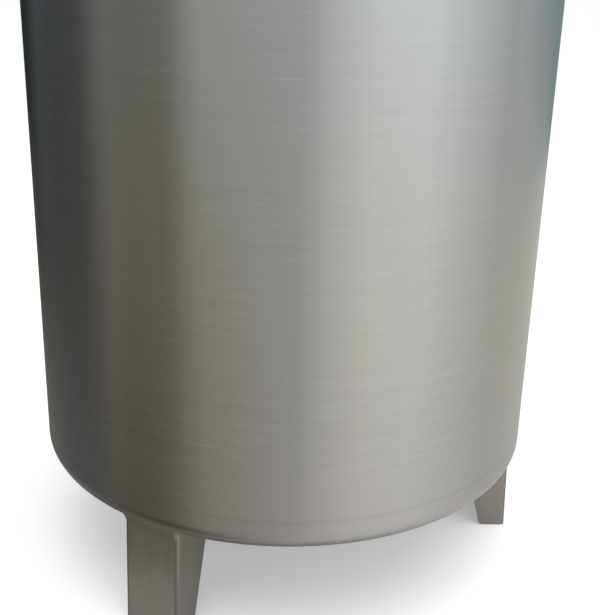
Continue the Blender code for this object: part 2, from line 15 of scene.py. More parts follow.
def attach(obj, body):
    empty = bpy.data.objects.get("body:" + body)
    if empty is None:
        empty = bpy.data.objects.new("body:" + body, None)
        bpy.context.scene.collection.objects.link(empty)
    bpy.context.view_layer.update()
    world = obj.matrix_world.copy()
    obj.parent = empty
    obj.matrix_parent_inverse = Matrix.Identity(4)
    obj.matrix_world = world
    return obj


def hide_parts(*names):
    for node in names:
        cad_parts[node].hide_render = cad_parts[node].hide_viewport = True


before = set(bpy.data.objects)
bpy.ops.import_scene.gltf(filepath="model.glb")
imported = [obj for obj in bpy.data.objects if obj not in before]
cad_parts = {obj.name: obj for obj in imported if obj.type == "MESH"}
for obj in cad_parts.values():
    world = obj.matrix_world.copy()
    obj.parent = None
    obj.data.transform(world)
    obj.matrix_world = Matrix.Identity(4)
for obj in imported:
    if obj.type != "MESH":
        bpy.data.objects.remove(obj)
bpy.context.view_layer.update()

# %% [markdown]
# ## The camera first
# A picture is matched most easily when the camera is settled before anything is made. The lens and the
# place come from fitting a pinhole to the two sides and the lower rim of the shell, which is a true
# cylinder. The camera stands in front, a little above the middle, looks down by about 21 degrees and leans
# by 1.4.

# %% Set up the camera
def linked(obj):
    """Links an object to the scene."""
    bpy.context.scene.collection.objects.link(obj)
    return obj


CAMERA_PLACE = Vector((-0.0196, -2.0371, 1.2522))
CAMERA_YAW = 0.0234
CAMERA_PITCH = 0.3597
CAMERA_ROLL = 0.0247
CAMERA_LENS = 60.57

camera = linked(bpy.data.objects.new("camera", bpy.data.cameras.new("camera")))
camera.data.lens = CAMERA_LENS
turns = ((-CAMERA_YAW, "Z"), (math.pi / 2 - CAMERA_PITCH, "X"), (CAMERA_ROLL, "Z"))
yaw, pitch, roll = [Matrix.Rotation(angle, 4, axis) for angle, axis in turns]
camera.matrix_world = Matrix.Translation(CAMERA_PLACE) @ yaw @ pitch @ roll
bpy.context.scene.camera = camera
print("camera looks along", [round(-value, 3) for value in camera.matrix_world.col[2][:3]])

# %% [markdown]
# ## Colours and nodes
# Colours are picked as sRGB hex values, the way a colour picker shows them, and a shader wants linear
# light, so one function turns one into the other. A second one adds a node of any kind with its settings,
# values and links. The short ones after it are the few nodes that every finish needs, written once.

# %% Helpers for materials
def linear(hex_colour):
    """sRGB hex to the linear colour that a shader takes."""
    shares = [int(hex_colour[i : i + 2], 16) / 255 for i in (1, 3, 5)]
    return (*[s / 12.92 if s <= 0.04045 else ((s + 0.055) / 1.055) ** 2.4 for s in shares], 1)


def plug(tree, node, sockets):
    """Gives each input of a node a value, or the output that is linked to it."""
    for name, value in sockets.items():
        if isinstance(value, bpy.types.NodeSocket):
            tree.links.new(value, node.inputs[name])
        else:
            node.inputs[name].default_value = value


def add(tree, kind, sockets=None, **settings):
    """Adds a node with its settings and its inputs."""
    node = tree.nodes.new(kind)
    for name, value in settings.items():
        setattr(node, name, value)
    plug(tree, node, sockets or {})
    return node


def output(tree, kind, sockets=None, which=0, **settings):
    """Adds a node and gives one of its outputs."""
    return add(tree, kind, sockets, **settings).outputs[which]


def compute(tree, operation, *values):
    """Result of a Math node."""
    return output(tree, "ShaderNodeMath", dict(enumerate(values)), operation=operation)


def remap(tree, value, low, high, start=0.0, end=1.0, easing="LINEAR"):
    """A value carried from one range to another, and kept inside it."""
    sockets = {"Value": value, "From Min": low, "From Max": high, "To Min": start, "To Max": end}
    return output(tree, "ShaderNodeMapRange", sockets, interpolation_type=easing)


def noise(tree, place, stretch, detail, turn=(0, 0, 0), roughness=0.5):
    """Noise with a number of grains in a metre along each axis."""
    grains = output(tree, "ShaderNodeMapping", {"Vector": place, "Rotation": turn, "Scale": stretch})
    sockets = {"Vector": grains, "Scale": 1.0, "Detail": detail, "Roughness": roughness}
    return output(tree, "ShaderNodeTexNoise", sockets, "Fac")


def scaled(tree, colour, by):
    """A colour made lighter or darker."""
    return output(tree, "ShaderNodeVectorMath", {0: colour, "Scale": by}, operation="SCALE")


def mixed(tree, share, first, second, blend_type="MIX"):
    """One colour blended into another."""
    sockets = {0: share, 6: first, 7: second}
    return output(tree, "ShaderNodeMix", sockets, 2, data_type="RGBA", blend_type=blend_type)


def raised(tree, height, strength, distance):
    """The normal of a surface with a fine relief."""
    sockets = {"Height": height, "Strength": strength, "Distance": distance}
    return output(tree, "ShaderNodeBump", sockets)


def new_material(name, colour):
    """A material, its tree, its shader and the output that gives a place on the piece."""
    material = bpy.data.materials.new(name)
    material.use_nodes = True
    material.diffuse_color = linear(colour)
    tree = material.node_tree
    return material, tree, tree.nodes["Principled BSDF"], output(tree, "ShaderNodeTexCoord", which="Object")


print("pale steel in linear light:", [round(value, 3) for value in linear("#C8C5BE")[:3]])

# %% [markdown]
# ## Brushed stainless steel
# Tank steel is type 304 stainless with a number 4 finish: a belt of about 180 grit runs along the sheet and
# leaves thousands of hair-thin lines. They spread every reflection across themselves, so on a rolled shell,
# where they run round the tank, anything bright becomes a tall soft band with fairly clean sides. A shader
# does that with its anisotropy. The lines are about 0.1 mm apart, too fine for a picture of the whole tank,
# so they are drawn 2 mm thick and 50 mm long and kept very faint, as a camera blends them. A second
# pattern, five times as coarse, is the passes of the belt, and a few thin marks are what handling leaves.
#
# The legs stand where the floor is washed, so a dull brownish film hides part of their metal, more of it
# towards the floor. The film is partly dust and partly painted light: it makes the legs lighter towards
# the floor, as the bright floor near their feet does. Along the folds a darker line is painted shade that
# dims the folds' bright reflection.
#
# Turned pieces carry an attribute called rise, the distance along their section. The pattern is short along
# rise and long along X and Y, which makes lines that run round the piece and close without a seam.

# %% The steel
BOTTOM_WELD = 0.277
TOP_WELD = 1.527
LENGTHWISE_WELD = 105
GROUND_HALF = 0.004
GROUND_EDGE = 0.0064
GROUND_TONE = -0.05
PASSES = 5
MARK_STRETCH = (14, 14, 700)
MARK_TURN = (0.35, 0.1, 0.2)
MARKS_SHOW = (0.76, 0.84)
MARK_GLOSS = 0.12
MARK_DEPTH = -0.3
LINE_DEPTH = 0.0002
# painted shade along the legs' folds
FOLD_SHADE_TONE = 0.52
# a film on the lower legs, partly dust and partly painted floor light that makes them lighter towards the
# floor
FILM_AND_FLOOR_LIGHT_COLOUR = "#8F8781"
FILM_AND_FLOOR_LIGHT_START = 0.19
FILM_AND_FLOOR_LIGHT_FULL = 0.03
FILM_AND_FLOOR_LIGHT_STRETCH = (22, 22, 22)
FILM_AND_FLOOR_LIGHT_SHEEN = 0.15
MIDDLE_OF_NOISE = (0.3, 0.7)
GLOSS_SPREAD = (0.88, 1.14)
QUARTER_TURN = 0.25


def ground_seams(tree, place, height, welds):
    """1 on the shell's ground welds: the round ones at the given heights, and the one along it."""
    angle = math.radians(LENGTHWISE_WELD)
    beside, behind = [
        output(tree, "ShaderNodeVectorMath", {0: place, 1: way}, "Value", operation="DOT_PRODUCT")
        for way in ((-math.sin(angle), math.cos(angle), 0), (math.cos(angle), math.sin(angle), 0))
    ]
    off_seams = [compute(tree, "SUBTRACT", height, weld) for weld in welds]
    off_seams.append(compute(tree, "ADD", beside, compute(tree, "LESS_THAN", behind, 0.0)))
    seam = 0.0
    for away in off_seams:
        away = compute(tree, "ABSOLUTE", away)
        band = remap(tree, away, GROUND_EDGE, GROUND_HALF, easing="SMOOTHSTEP")
        seam = compute(tree, "MAXIMUM", seam, band)
    return seam


def filmed_and_floor_lit(tree, tone, place, height, film_and_floor_light):
    """A leg's tone under its film of dust and painted floor light and with the painted shade along its
    folds, and how much of it is still bare metal.
    """
    # the film is partly dust and partly painted floor light, and grows towards the floor
    near_floor = remap(tree, height, FILM_AND_FLOOR_LIGHT_START, FILM_AND_FLOOR_LIGHT_FULL, easing="SMOOTHSTEP")
    patchy = remap(tree, noise(tree, place, FILM_AND_FLOOR_LIGHT_STRETCH, 4.0), *MIDDLE_OF_NOISE, 0.6, 1.0)
    dust_and_floor_light = compute(tree, "MULTIPLY", near_floor, patchy)
    # painted shade along the folds darkens the tone there
    fold_shade = output(tree, "ShaderNodeAttribute", which="Fac", attribute_name="fold_shade")
    kept = remap(tree, fold_shade, 0.0, 1.0, 1.0, FOLD_SHADE_TONE)
    tone = scaled(tree, mixed(tree, dust_and_floor_light, tone, linear(FILM_AND_FLOOR_LIGHT_COLOUR)), kept)
    return tone, remap(tree, dust_and_floor_light, 0.0, 1.0, 1 - FILM_AND_FLOOR_LIGHT_SHEEN * film_and_floor_light, 1 - film_and_floor_light)


def steel(
    name, colour, roughness, stretch, contrast, relief, turned=False, anisotropic=0.0, welds=(), film_and_floor_light=0.0
):
    """stretch is how many lines fit in a metre along each axis. welds are the heights of ground round seams.
    The last one is how much of the metal a dull film hides at the floor, partly dust and partly painted
    floor light, on a leg whose folds carry painted shade."""
    material, tree, shader, place = new_material(name, colour)
    axes = add(tree, "ShaderNodeSeparateXYZ", {"Vector": place}).outputs
    where = place
    if turned:
        rise = output(tree, "ShaderNodeAttribute", which="Fac", attribute_name="rise")
        where = output(tree, "ShaderNodeCombineXYZ", {"X": axes["X"], "Y": axes["Y"], "Z": rise})
    lines = noise(tree, where, stretch, 3.0, roughness=0.65)
    passes = noise(tree, where, [value / PASSES for value in stretch], 2.0)
    marks = remap(tree, noise(tree, place, MARK_STRETCH, 0.0, MARK_TURN), *MARKS_SHOW)
    both = output(tree, "ShaderNodeMix", {"Factor": 0.5, "A": lines, "B": passes}, data_type="FLOAT")
    spread = remap(tree, both, *MIDDLE_OF_NOISE, 1 - contrast, 1 + contrast)
    if welds:
        seams = ground_seams(tree, place, axes["Z"], welds)
        spread = compute(tree, "MULTIPLY_ADD", seams, GROUND_TONE, spread)
    tone, bare = scaled(tree, linear(colour)[:3], spread), 1.0
    if film_and_floor_light:
        tone, bare = filmed_and_floor_lit(tree, tone, place, axes["Z"], film_and_floor_light)
    gloss = remap(tree, both, *MIDDLE_OF_NOISE, *[share * roughness for share in GLOSS_SPREAD])
    height = compute(tree, "MULTIPLY_ADD", marks, MARK_DEPTH, lines)
    sockets = {
        "Base Color": tone,
        "Metallic": bare,
        "Roughness": compute(tree, "MULTIPLY_ADD", marks, MARK_GLOSS, gloss),
        "Normal": raised(tree, height, relief, LINE_DEPTH),
    }
    plug(tree, shader, sockets)
    if anisotropic:
        along_lines = output(tree, "ShaderNodeTangent", direction_type="RADIAL", axis="Z")
        sockets = {"Tangent": along_lines, "Anisotropic": anisotropic, "Anisotropic Rotation": QUARTER_TURN}
        plug(tree, shader, sockets)
    return material


shell_steel = steel(
    "brushed_304_sheet",
    "#C8C6C2",
    roughness=0.22,
    stretch=(20, 20, 480),
    contrast=0.035,
    relief=0.06,
    turned=True,
    anisotropic=0.9,
    welds=(BOTTOM_WELD, TOP_WELD),
)
leg_steel = steel("hand_ground_304", "#A8A398", 0.42, (260, 260, 14), contrast=0.08, relief=0.2, film_and_floor_light=0.55)
turned_steel = steel("turned_304", "#CFCDC8", 0.22, (24, 24, 900), turned=True, contrast=0.05, relief=0.1)
plate_steel = steel("satin_304_plate", "#C9C6C0", 0.28, (20, 20, 500), contrast=0.06, relief=0.12)
print("steels:", shell_steel.name, leg_steel.name, turned_steel.name, plate_steel.name)

# %% [markdown]
# ## The other materials
# The seals are silicone, a soft white rubber that lets a little light in. The star knob is phenolic, a hard
# black plastic with a moulded, slightly uneven skin, and the lever's grip is dipped vinyl, softer and
# duller. Weld metal is brighter than the sheet and smooth, with a faint straw colour where it was hot.

# %% Rubber, plastic and weld metal
HANDLED_STRETCH = (60, 60, 60)
HANDLED_TONES = (0.85, 1.15)
HANDLED_GLOSS = 0.06
DIMPLE_DEPTH = 0.0001


def moulded(name, colour, roughness, grain, relief, subsurface=0.0, sheen=0.0):
    """Rubber or plastic with a skin of fine dimples. grain is the size of a dimple in metres."""
    material, tree, shader, place = new_material(name, colour)
    handled = noise(tree, place, HANDLED_STRETCH, 3.0)
    dimples = noise(tree, place, [1 / grain] * 3, 2.0)
    spread = remap(tree, handled, *MIDDLE_OF_NOISE, *HANDLED_TONES)
    glosses = (roughness - HANDLED_GLOSS, roughness + HANDLED_GLOSS)
    sockets = {
        "Base Color": scaled(tree, linear(colour)[:3], spread),
        "Roughness": remap(tree, handled, *MIDDLE_OF_NOISE, *glosses),
        "Normal": raised(tree, dimples, relief, DIMPLE_DEPTH),
        "Subsurface Weight": subsurface,
        "Subsurface Radius": (0.003, 0.003, 0.003),
        "Sheen Weight": sheen,
    }
    plug(tree, shader, sockets)
    return material


silicone = moulded("white_silicone", "#D9D8D2", 0.55, grain=0.0015, relief=0.15, subsurface=0.3)
phenolic = moulded("black_phenolic", "#17171A", 0.34, grain=0.0012, relief=0.25)
vinyl = moulded("dipped_black_vinyl", "#1C1B1B", 0.52, grain=0.0008, relief=0.35, sheen=0.15)
weld_metal = steel("tig_weld_308", "#CDC6B6", 0.26, (300, 300, 300), contrast=0.08, relief=0.3)
print("moulded:", silicone.name, phenolic.name, vinyl.name)

# %% [markdown]
# ## From a section to a turned piece
# Most of a tank is round: rolled, spun or turned on a lathe. Its shape follows one rule, a section carried
# round an axis. A Spin or a Screw would do it, but Geometry Nodes state the rule most plainly: a grid with
# one row for each point of the section and one column for each step of the turn, whose points are then put
# in place by their own number. The same tree makes the shell, the heads, the manway and every turned
# fitting.

# %% A helper for Geometry Nodes
def geometry_tree(name, sockets):
    """An empty tree with named inputs, its input node and a function that closes it with an output."""
    tree = bpy.data.node_groups.new(name, "GeometryNodeTree")
    tree.interface.new_socket("Geometry", in_out="INPUT", socket_type="NodeSocketGeometry")
    for label, kind in sockets:
        tree.interface.new_socket(label, in_out="INPUT", socket_type="NodeSocket" + kind)
    tree.interface.new_socket("Geometry", in_out="OUTPUT", socket_type="NodeSocketGeometry")
    start = add(tree, "NodeGroupInput")

    def close(geometry):
        """Shades what the tree has made, makes it real and gives it its material."""
        smooth = output(tree, "GeometryNodeSetShadeSmooth", {"Geometry": geometry})
        real = output(tree, "GeometryNodeRealizeInstances", {"Geometry": smooth})
        sockets = {"Geometry": real, "Material": start.outputs["Material"]}
        finished = output(tree, "GeometryNodeSetMaterial", sockets)
        add(tree, "NodeGroupOutput", {"Geometry": finished})
        print("the tree", name, "has", len(tree.nodes), "nodes")

    return tree, start.outputs, close


def run_tree(tree, mesh, values):
    """The plain mesh that the tree makes from a mesh and its named values."""
    source = linked(bpy.data.objects.new("source", mesh))
    modifier = source.modifiers.new(tree.name, "NODES")
    modifier.node_group = tree
    for item in tree.interface.items_tree:
        if item.in_out == "INPUT" and item.name in values:
            modifier[item.identifier] = values[item.name]
    graph = bpy.context.evaluated_depsgraph_get()
    made = bpy.data.meshes.new_from_object(source.evaluated_get(graph), depsgraph=graph)
    bpy.data.objects.remove(source)
    bpy.data.meshes.remove(mesh)
    return made

# %% The tree for a turned piece
MERGED_BELOW = 0.00001

turning, inputs, close = geometry_tree(
    "turned_piece",
    (("Steps", "Int"), ("Rows", "Int"), ("Start", "Float"), ("Sweep", "Float"), ("Material", "Material")),
)
columns = compute(turning, "ADD", inputs["Steps"], 1.0)
grid = output(turning, "GeometryNodeMeshGrid", {"Vertices X": columns, "Vertices Y": inputs["Rows"]})
number = output(turning, "GeometryNodeInputIndex")
column = compute(turning, "FLOOR", compute(turning, "DIVIDE", number, inputs["Rows"]))
row = compute(turning, "SUBTRACT", number, compute(turning, "MULTIPLY", column, inputs["Rows"]))
share = compute(turning, "DIVIDE", column, inputs["Steps"])
angle = compute(turning, "MULTIPLY_ADD", share, inputs["Sweep"], inputs["Start"])


def of_section(value, kind):
    """A value at the point of the section that this row of the grid stands for."""
    sockets = {"Geometry": inputs["Geometry"], "Value": value, "Index": row}
    return output(turning, "GeometryNodeSampleIndex", sockets, data_type=kind)


place = of_section(output(turning, "GeometryNodeInputPosition"), "FLOAT_VECTOR")
rise = output(turning, "GeometryNodeInputNamedAttribute", {"Name": "rise"}, data_type="FLOAT")
rise = of_section(rise, "FLOAT")
section = add(turning, "ShaderNodeSeparateXYZ", {"Vector": place}).outputs
ways = [compute(turning, way, angle) for way in ("COSINE", "SINE")]
x, y = [compute(turning, "MULTIPLY", section["X"], way) for way in ways]
point = output(turning, "ShaderNodeCombineXYZ", {"X": x, "Y": y, "Z": section["Z"]})
bent = output(turning, "GeometryNodeSetPosition", {"Geometry": grid, "Position": point})
sockets = {"Geometry": bent, "Name": "rise", "Value": rise}
named = output(turning, "GeometryNodeStoreNamedAttribute", sockets, data_type="FLOAT", domain="POINT")
close(output(turning, "GeometryNodeMergeByDistance", {"Geometry": named, "Distance": MERGED_BELOW}))

# %% [markdown]
# ## Finishing a mesh
# A mesh that comes out of a tree or a curve still needs three things: its doubled points made one, its
# faces turned outwards, and a rule for which edges stay sharp. Then it becomes a piece: it is named, it
# rides on the tank, and it stands for the solids that it replaces.

# %% Make a mesh a piece of the tank
SHARP_ABOVE = math.radians(38)


def tidied(mesh, sharp_above=SHARP_ABOVE):
    """Closes gaps in the mesh, turns it outwards and shades it."""
    bm = bmesh.new()
    bm.from_mesh(mesh)
    bmesh.ops.remove_doubles(bm, verts=bm.verts, dist=1e-6)
    loose = [edge for edge in bm.edges if edge.is_boundary]
    if loose:
        bmesh.ops.holes_fill(bm, edges=loose, sides=0)
    bmesh.ops.recalc_face_normals(bm, faces=bm.faces)
    if bm.calc_volume(signed=True) < 0:
        bmesh.ops.reverse_faces(bm, faces=bm.faces)
    still_open = sum(not edge.is_manifold for edge in bm.edges)
    bm.to_mesh(mesh)
    bm.free()
    mesh.shade_smooth()
    mesh.set_sharp_from_angle(angle=sharp_above)
    if still_open:
        print("  open edges:", still_open, "in", mesh.name)
    return mesh


def joined(meshes):
    """One mesh from several, with each one's material kept."""
    objects = [linked(bpy.data.objects.new("part", mesh)) for mesh in meshes]
    with bpy.context.temp_override(active_object=objects[0], selected_editable_objects=objects):
        bpy.ops.object.join()
    mesh = objects[0].data
    bpy.data.objects.remove(objects[0])
    return mesh


def placed(mesh, place):
    """The mesh, turned and moved by a matrix."""
    mesh.transform(place)
    return mesh


def about_z(degrees):
    """A turn about the tank's axis."""
    return Matrix.Rotation(math.radians(degrees), 4, "Z")


def shifted(x, y, z):
    """A move along the three axes."""
    return Matrix.Translation((x, y, z))


def piece(name, mesh, *nodes, slot="fitting_steel"):
    """A finished mesh on the tank, standing for the solids that are named."""
    mesh.name = name
    obj = linked(bpy.data.objects.new(name, mesh))
    if nodes:
        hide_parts(*nodes)
    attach(obj, "root")
    print(f"{name}: {sum(len(face.vertices) - 2 for face in mesh.polygons)} triangles")

# %% Sections and how they are softened
NEARLY_STRAIGHT = math.radians(12)
SIDE_SHARE = 0.45


def arc(centre, radius, start, end, steps):
    """Points on a circle from one angle to another, in degrees, with both ends."""
    angles = [math.radians(start + (end - start) * i / steps) for i in range(steps + 1)]
    return [(centre[0] + radius * math.cos(a), centre[1] + radius * math.sin(a)) for a in angles]


def round_outline(centre, radius, steps=24):
    """Points all round a circle, each one once."""
    return arc(centre, radius, 0, 360 - 360 / steps, steps - 1)


def softened(outline, radius, looped=True, steps=4):
    """The outline with a round in each corner. A point's third value is a radius of its own."""
    points = [Vector(point[:2]) for point in outline]
    last = len(points) - 1
    rounded = []
    for i, corner in enumerate(points):
        size = outline[i][2] if len(outline[i]) > 2 else radius
        before, after = points[i - 1] - corner, points[0 if i == last else i + 1] - corner
        turn = math.pi - before.angle(after) if looped or 0 < i < last else 0.0
        if turn < NEARLY_STRAIGHT:
            rounded.append(tuple(corner))
            continue
        back = min(size * math.tan(turn / 2), SIDE_SHARE * before.length, SIDE_SHARE * after.length)
        start, end = corner + back * before.normalized(), corner + back * after.normalized()
        for step in range(steps + 1):
            t = step / steps
            rounded.append(tuple((1 - t) ** 2 * start + 2 * t * (1 - t) * corner + t * t * end))
    return rounded


def turned(section, steps, material, looped=True, start=0.0, sweep=math.tau, place=Matrix.Identity(4)):
    """The mesh that a (radius, height) section makes round the Z axis, then put in its place."""
    points = [*section, section[0]] if looped else section
    mesh = bpy.data.meshes.new("section")
    mesh.from_pydata([(r, 0, z) for r, z in points], [(i, i + 1) for i in range(len(points) - 1)], [])
    rise = mesh.attributes.new("rise", "FLOAT", "POINT")
    travelled = 0.0
    for i, (r, z) in enumerate(points):
        if i:
            travelled += math.dist(points[i - 1], (r, z))
        rise.data[i].value = travelled
    values = {"Steps": steps, "Rows": len(points), "Start": start, "Sweep": sweep, "Material": material}
    return tidied(placed(run_tree(turning, mesh, values), place))


def lathe(section, steps, round_off=None, material=turned_steel, fineness=4, **settings):
    """A turned piece with soft corners. Without a round_off the section starts and ends on the axis."""
    looped = round_off is not None
    section = softened(section, round_off or 0, looped, fineness)
    return turned(section, steps, material, looped, **settings)


print("a softened square has", len(softened([(0, 0), (1, 0), (1, 1), (0, 1)], 0.1)), "points")

# %% [markdown]
# ## The shell
# The shell is one sheet, 3 mm thick and 1250 mm wide, rolled into a cylinder a metre across and welded
# along its length, then ground flush. In the solids it has 72 flat sides, which is fine for weight and
# contact, but in polished metal every flat side would show. It is turned again here with 360 steps. The
# wall's top and bottom meet the heads exactly: on the real tank the two round welds are ground away too,
# and only a slight change of sheen is left, which the steel above draws as two bands.

# %% Turn the shell
SHELL_RADIUS = 0.500
SHEET = 0.003
ROUND_STEPS = 360
SHELL_ROWS = 24

shell_wall = [
    (SHELL_RADIUS, BOTTOM_WELD + (TOP_WELD - BOTTOM_WELD) * i / SHELL_ROWS) for i in range(SHELL_ROWS + 1)
]
shell_section = shell_wall + [(SHELL_RADIUS - SHEET, z) for _, z in reversed(shell_wall)]
piece("shell_sheet", turned(shell_section, ROUND_STEPS, shell_steel), "shell", slot="shell_steel")

# %% [markdown]
# ## The two heads
# Each end is a flat cone with a rounded knuckle and a short straight flange that meets the shell. The
# bottom one slopes by 8 degrees to its drain, the top one by 15 so that it sheds water. The knuckle is what
# the photograph shows as the soft lower edge of the tank, so it gets 24 steps in its bend.

# %% Turn the heads
KNUCKLE = 0.042
FLANGE = 0.025
KNUCKLE_CENTRE = SHELL_RADIUS - KNUCKLE
BOTTOM_SLOPE = 8
TOP_SLOPE = 15
TUBE = 0.0254
NECK = 0.200
HEAD_OVERLAP = 0.0005
BOTTOM_HEAD = (-1, BOTTOM_WELD, BOTTOM_SLOPE)
TOP_HEAD = (1, TOP_WELD, TOP_SLOPE)


def cone_height(head, radius, offset=0.0):
    """Height of a head's cone at a radius, on a surface moved outwards by offset."""
    up, weld, slope = head
    lean = math.radians(slope)
    reach = KNUCKLE + offset
    edge = KNUCKLE_CENTRE + reach * math.sin(lean)
    return weld + up * (FLANGE + reach * math.cos(lean) + (edge - radius) * math.tan(lean))


def head_line(head, inner, offset=0.0, steps=24, cone_steps=8):
    """Section of a head's surface from the weld to its inner radius."""
    up, weld, slope = head
    bend = arc((KNUCKLE_CENTRE, weld + up * FLANGE), KNUCKLE + offset, 0, up * (90 - slope), steps)
    edge = bend[-1][0]
    radii = [edge + (inner - edge) * i / cone_steps for i in range(1, cone_steps + 1)]
    return [(SHELL_RADIUS + offset, weld), *bend, *[(r, cone_height(head, r, offset)) for r in radii]]


for name, head, opening in (("bottom_head", BOTTOM_HEAD, TUBE), ("top_head", TOP_HEAD, NECK)):
    inner = opening - HEAD_OVERLAP
    section = head_line(head, inner) + head_line(head, inner, -SHEET)[::-1]
    piece(f"{name}_sheet", turned(section, ROUND_STEPS, shell_steel), name, slot="shell_steel")


def belly(radius):
    """Height of the bottom head's outer surface, knuckle included."""
    if radius < KNUCKLE_CENTRE + KNUCKLE * math.sin(math.radians(BOTTOM_SLOPE)):
        return cone_height(BOTTOM_HEAD, radius)
    out = min(radius - KNUCKLE_CENTRE, KNUCKLE)
    return BOTTOM_WELD - FLANGE - math.sqrt(KNUCKLE**2 - out**2)


def roof(radius):
    """Height of the top head's cone."""
    return cone_height(TOP_HEAD, radius)


print("belly", round(belly(0.3), 4), "roof", round(roof(0.3), 4))

# %% [markdown]
# ## Three folded legs
# A leg is a channel folded from 4 mm sheet: a web that faces outwards and two sides that reach inwards. The
# sides are cut deeper at the top, where the load goes into the head, and all of it is coped to the head's
# curve before it is welded on. A cope could be cut with a Boolean, which leaves long thin triangles. Here
# every line of the section simply ends where it meets the head, so the mesh stays a clean grid. The free
# corners at the foot are rounded, so that nobody cuts a hand. Along each fold a number that grows to 1 in
# its middle is stored in the mesh: the finish reads it and paints a darker line there, painted shade that
# dims the fold's bright reflection.

# %% The section of a leg, and where it meets the head
LEG_TURNS = {"right": 0, "rear_left": 120, "front_left": 240}
LEG_SHEET = 0.004
LEG_HALF = 0.059
LEG_BEND = 0.008
LEG_FACE = 0.485
LEG_LEAN = 0.0355
LEG_DEPTH = 0.102
LEG_TAPER = 0.2206
BELLY_HEIGHT = 0.210
SIDE_STEPS = 8
WEB_STEPS = 16
BEND_STEPS = 8
EMBED = 0.0004


def leg_line(inset):
    """(share of the side, inwards, sideways) of the section's points. The share is 1 at a free edge."""
    half, bend = LEG_HALF - inset, LEG_BEND - inset
    side = [(1 - i / SIDE_STEPS, 0.0, half) for i in range(SIDE_STEPS)]
    fold = [(0.0, LEG_BEND + x, y) for x, y in arc((0, half - bend), bend, 90, 180, BEND_STEPS)]
    web = [(0.0, inset, (half - bend) * (1 - 2 * i / WEB_STEPS)) for i in range(1, WEB_STEPS // 2)]
    one = side + fold + web
    other = [(share, inwards, -sideways) for share, inwards, sideways in reversed(one)]
    return [*one, (0.0, inset, 0.0), *other]


def leg_point(spot, height):
    """Where a point of the section lies at a height."""
    share, inwards, sideways = spot
    face = LEG_FACE + (BELLY_HEIGHT - height) * LEG_LEAN
    depth = LEG_DEPTH - (BELLY_HEIGHT - height) * LEG_TAPER
    reach = LEG_BEND + share * (depth - LEG_BEND) if share else inwards
    return Vector((face - reach, sideways, height))


def leg_top(spot, offset=0.0):
    """Where the line through a point of the section meets the head's surface."""
    height = BELLY_HEIGHT
    for _ in range(12):
        place = leg_point(spot, height)
        height = belly(math.hypot(place.x, place.y)) + offset
    return leg_point(spot, height)


print("a leg's section has", len(leg_line(0.0)), "points, its web ends at", round(leg_top((0, 0, 0)).z, 4))

# %% Build and fold the legs
LEG_ROWS = 12
LEG_EASE = 0.0007
CORNER = 0.006
CORNER_STEPS = 6
EASED_ABOVE = math.radians(50)


def grid_faces(bm, rows):
    """Puts faces between rows of points, which all have the same number of them."""
    made = [[bm.verts.new(point) for point in row] for row in rows]
    for near, far in zip(made, made[1:]):
        for i in range(len(near) - 1):
            bm.faces.new((near[i], near[i + 1], far[i + 1], far[i]))
    return made


def mesh_of(bm, material, sharp_above=SHARP_ABOVE):
    """A tidied mesh of one material from a bmesh, which is used up."""
    mesh = bpy.data.meshes.new("skin")
    bm.to_mesh(mesh)
    bm.free()
    mesh.materials.append(material)
    return tidied(mesh, sharp_above)


def corner_cut(height):
    """How far the round corner at the foot of a side has moved its free edge outwards at a height."""
    return CORNER - math.sqrt(CORNER**2 - (CORNER - min(height, CORNER)) ** 2)


def leg_wall(bm, inset):
    """One face of the sheet as a grid, which carries the painted shade along its folds."""
    spots = leg_line(inset)
    tops = [leg_top(spot, EMBED).z for spot in spots]
    low = [CORNER - z for _, z in arc((0, 0), CORNER, 90, 0, CORNER_STEPS)]
    rows = [[leg_point(spot, z) + Vector((spot[0] * corner_cut(z), 0, 0)) for spot in spots] for z in low]
    for i in range(1, LEG_ROWS + 1):
        heights = [CORNER + (top - CORNER) * i / LEG_ROWS for top in tops]
        rows.append([leg_point(spot, z) for spot, z in zip(spots, heights)])
    made = grid_faces(bm, rows)
    for row in made:
        for spot, vertex in zip(spots, row):
            # a darker line of painted shade along the middle of each fold, which dims its reflection
            across_fold = (abs(spot[2]) - (LEG_HALF - LEG_BEND)) / LEG_BEND
            if spot[0] == 0 and across_fold > 0:
                vertex[bm.verts.layers.float["fold_shade"]] = 4 * across_fold * (1 - across_fold)
    return made


def leg_mesh():
    """The two faces of the sheet, with its edges closed and eased."""
    bm = bmesh.new()
    bm.verts.layers.float.new("fold_shade")
    outer, inner = [leg_wall(bm, inset) for inset in (0.0, LEG_SHEET)]
    for edge in (0, -1):
        for near, far in zip(range(len(outer)), range(1, len(outer))):
            bm.faces.new((outer[near][edge], outer[far][edge], inner[far][edge], inner[near][edge]))
        a, b = outer[edge], inner[edge]
        for i in range(len(a) - 1):
            bm.faces.new((a[i], a[i + 1], b[i + 1], b[i]))
    bmesh.ops.recalc_face_normals(bm, faces=bm.faces)
    edges = [edge for edge in bm.edges if edge.calc_face_angle(0) > EASED_ABOVE]
    settings = {"segments": 2, "affect": "EDGES", "profile": 0.5, "clamp_overlap": True}
    bmesh.ops.bevel(bm, geom=edges, offset=LEG_EASE, **settings)
    return mesh_of(bm, leg_steel)


for side, degrees in LEG_TURNS.items():
    piece(f"leg_{side}_channel", placed(leg_mesh(), about_z(degrees)), f"leg_{side}", slot="leg_steel")

# %% [markdown]
# ## Ground welds at the legs
# Outside, each leg is welded all round its top and the weld is ground until the leg flows into the head.
# The photograph shows no crease there at all. The blend is a strip between two lines, one a little way down
# the leg and one a little way along the head, with a curve between them that leaves each surface along that
# surface's own slope. The second line is found by a walk over the head, round its knuckle where the leg
# meets that. The blend is wide on the web, where the grinder can reach, and narrow on the sides.

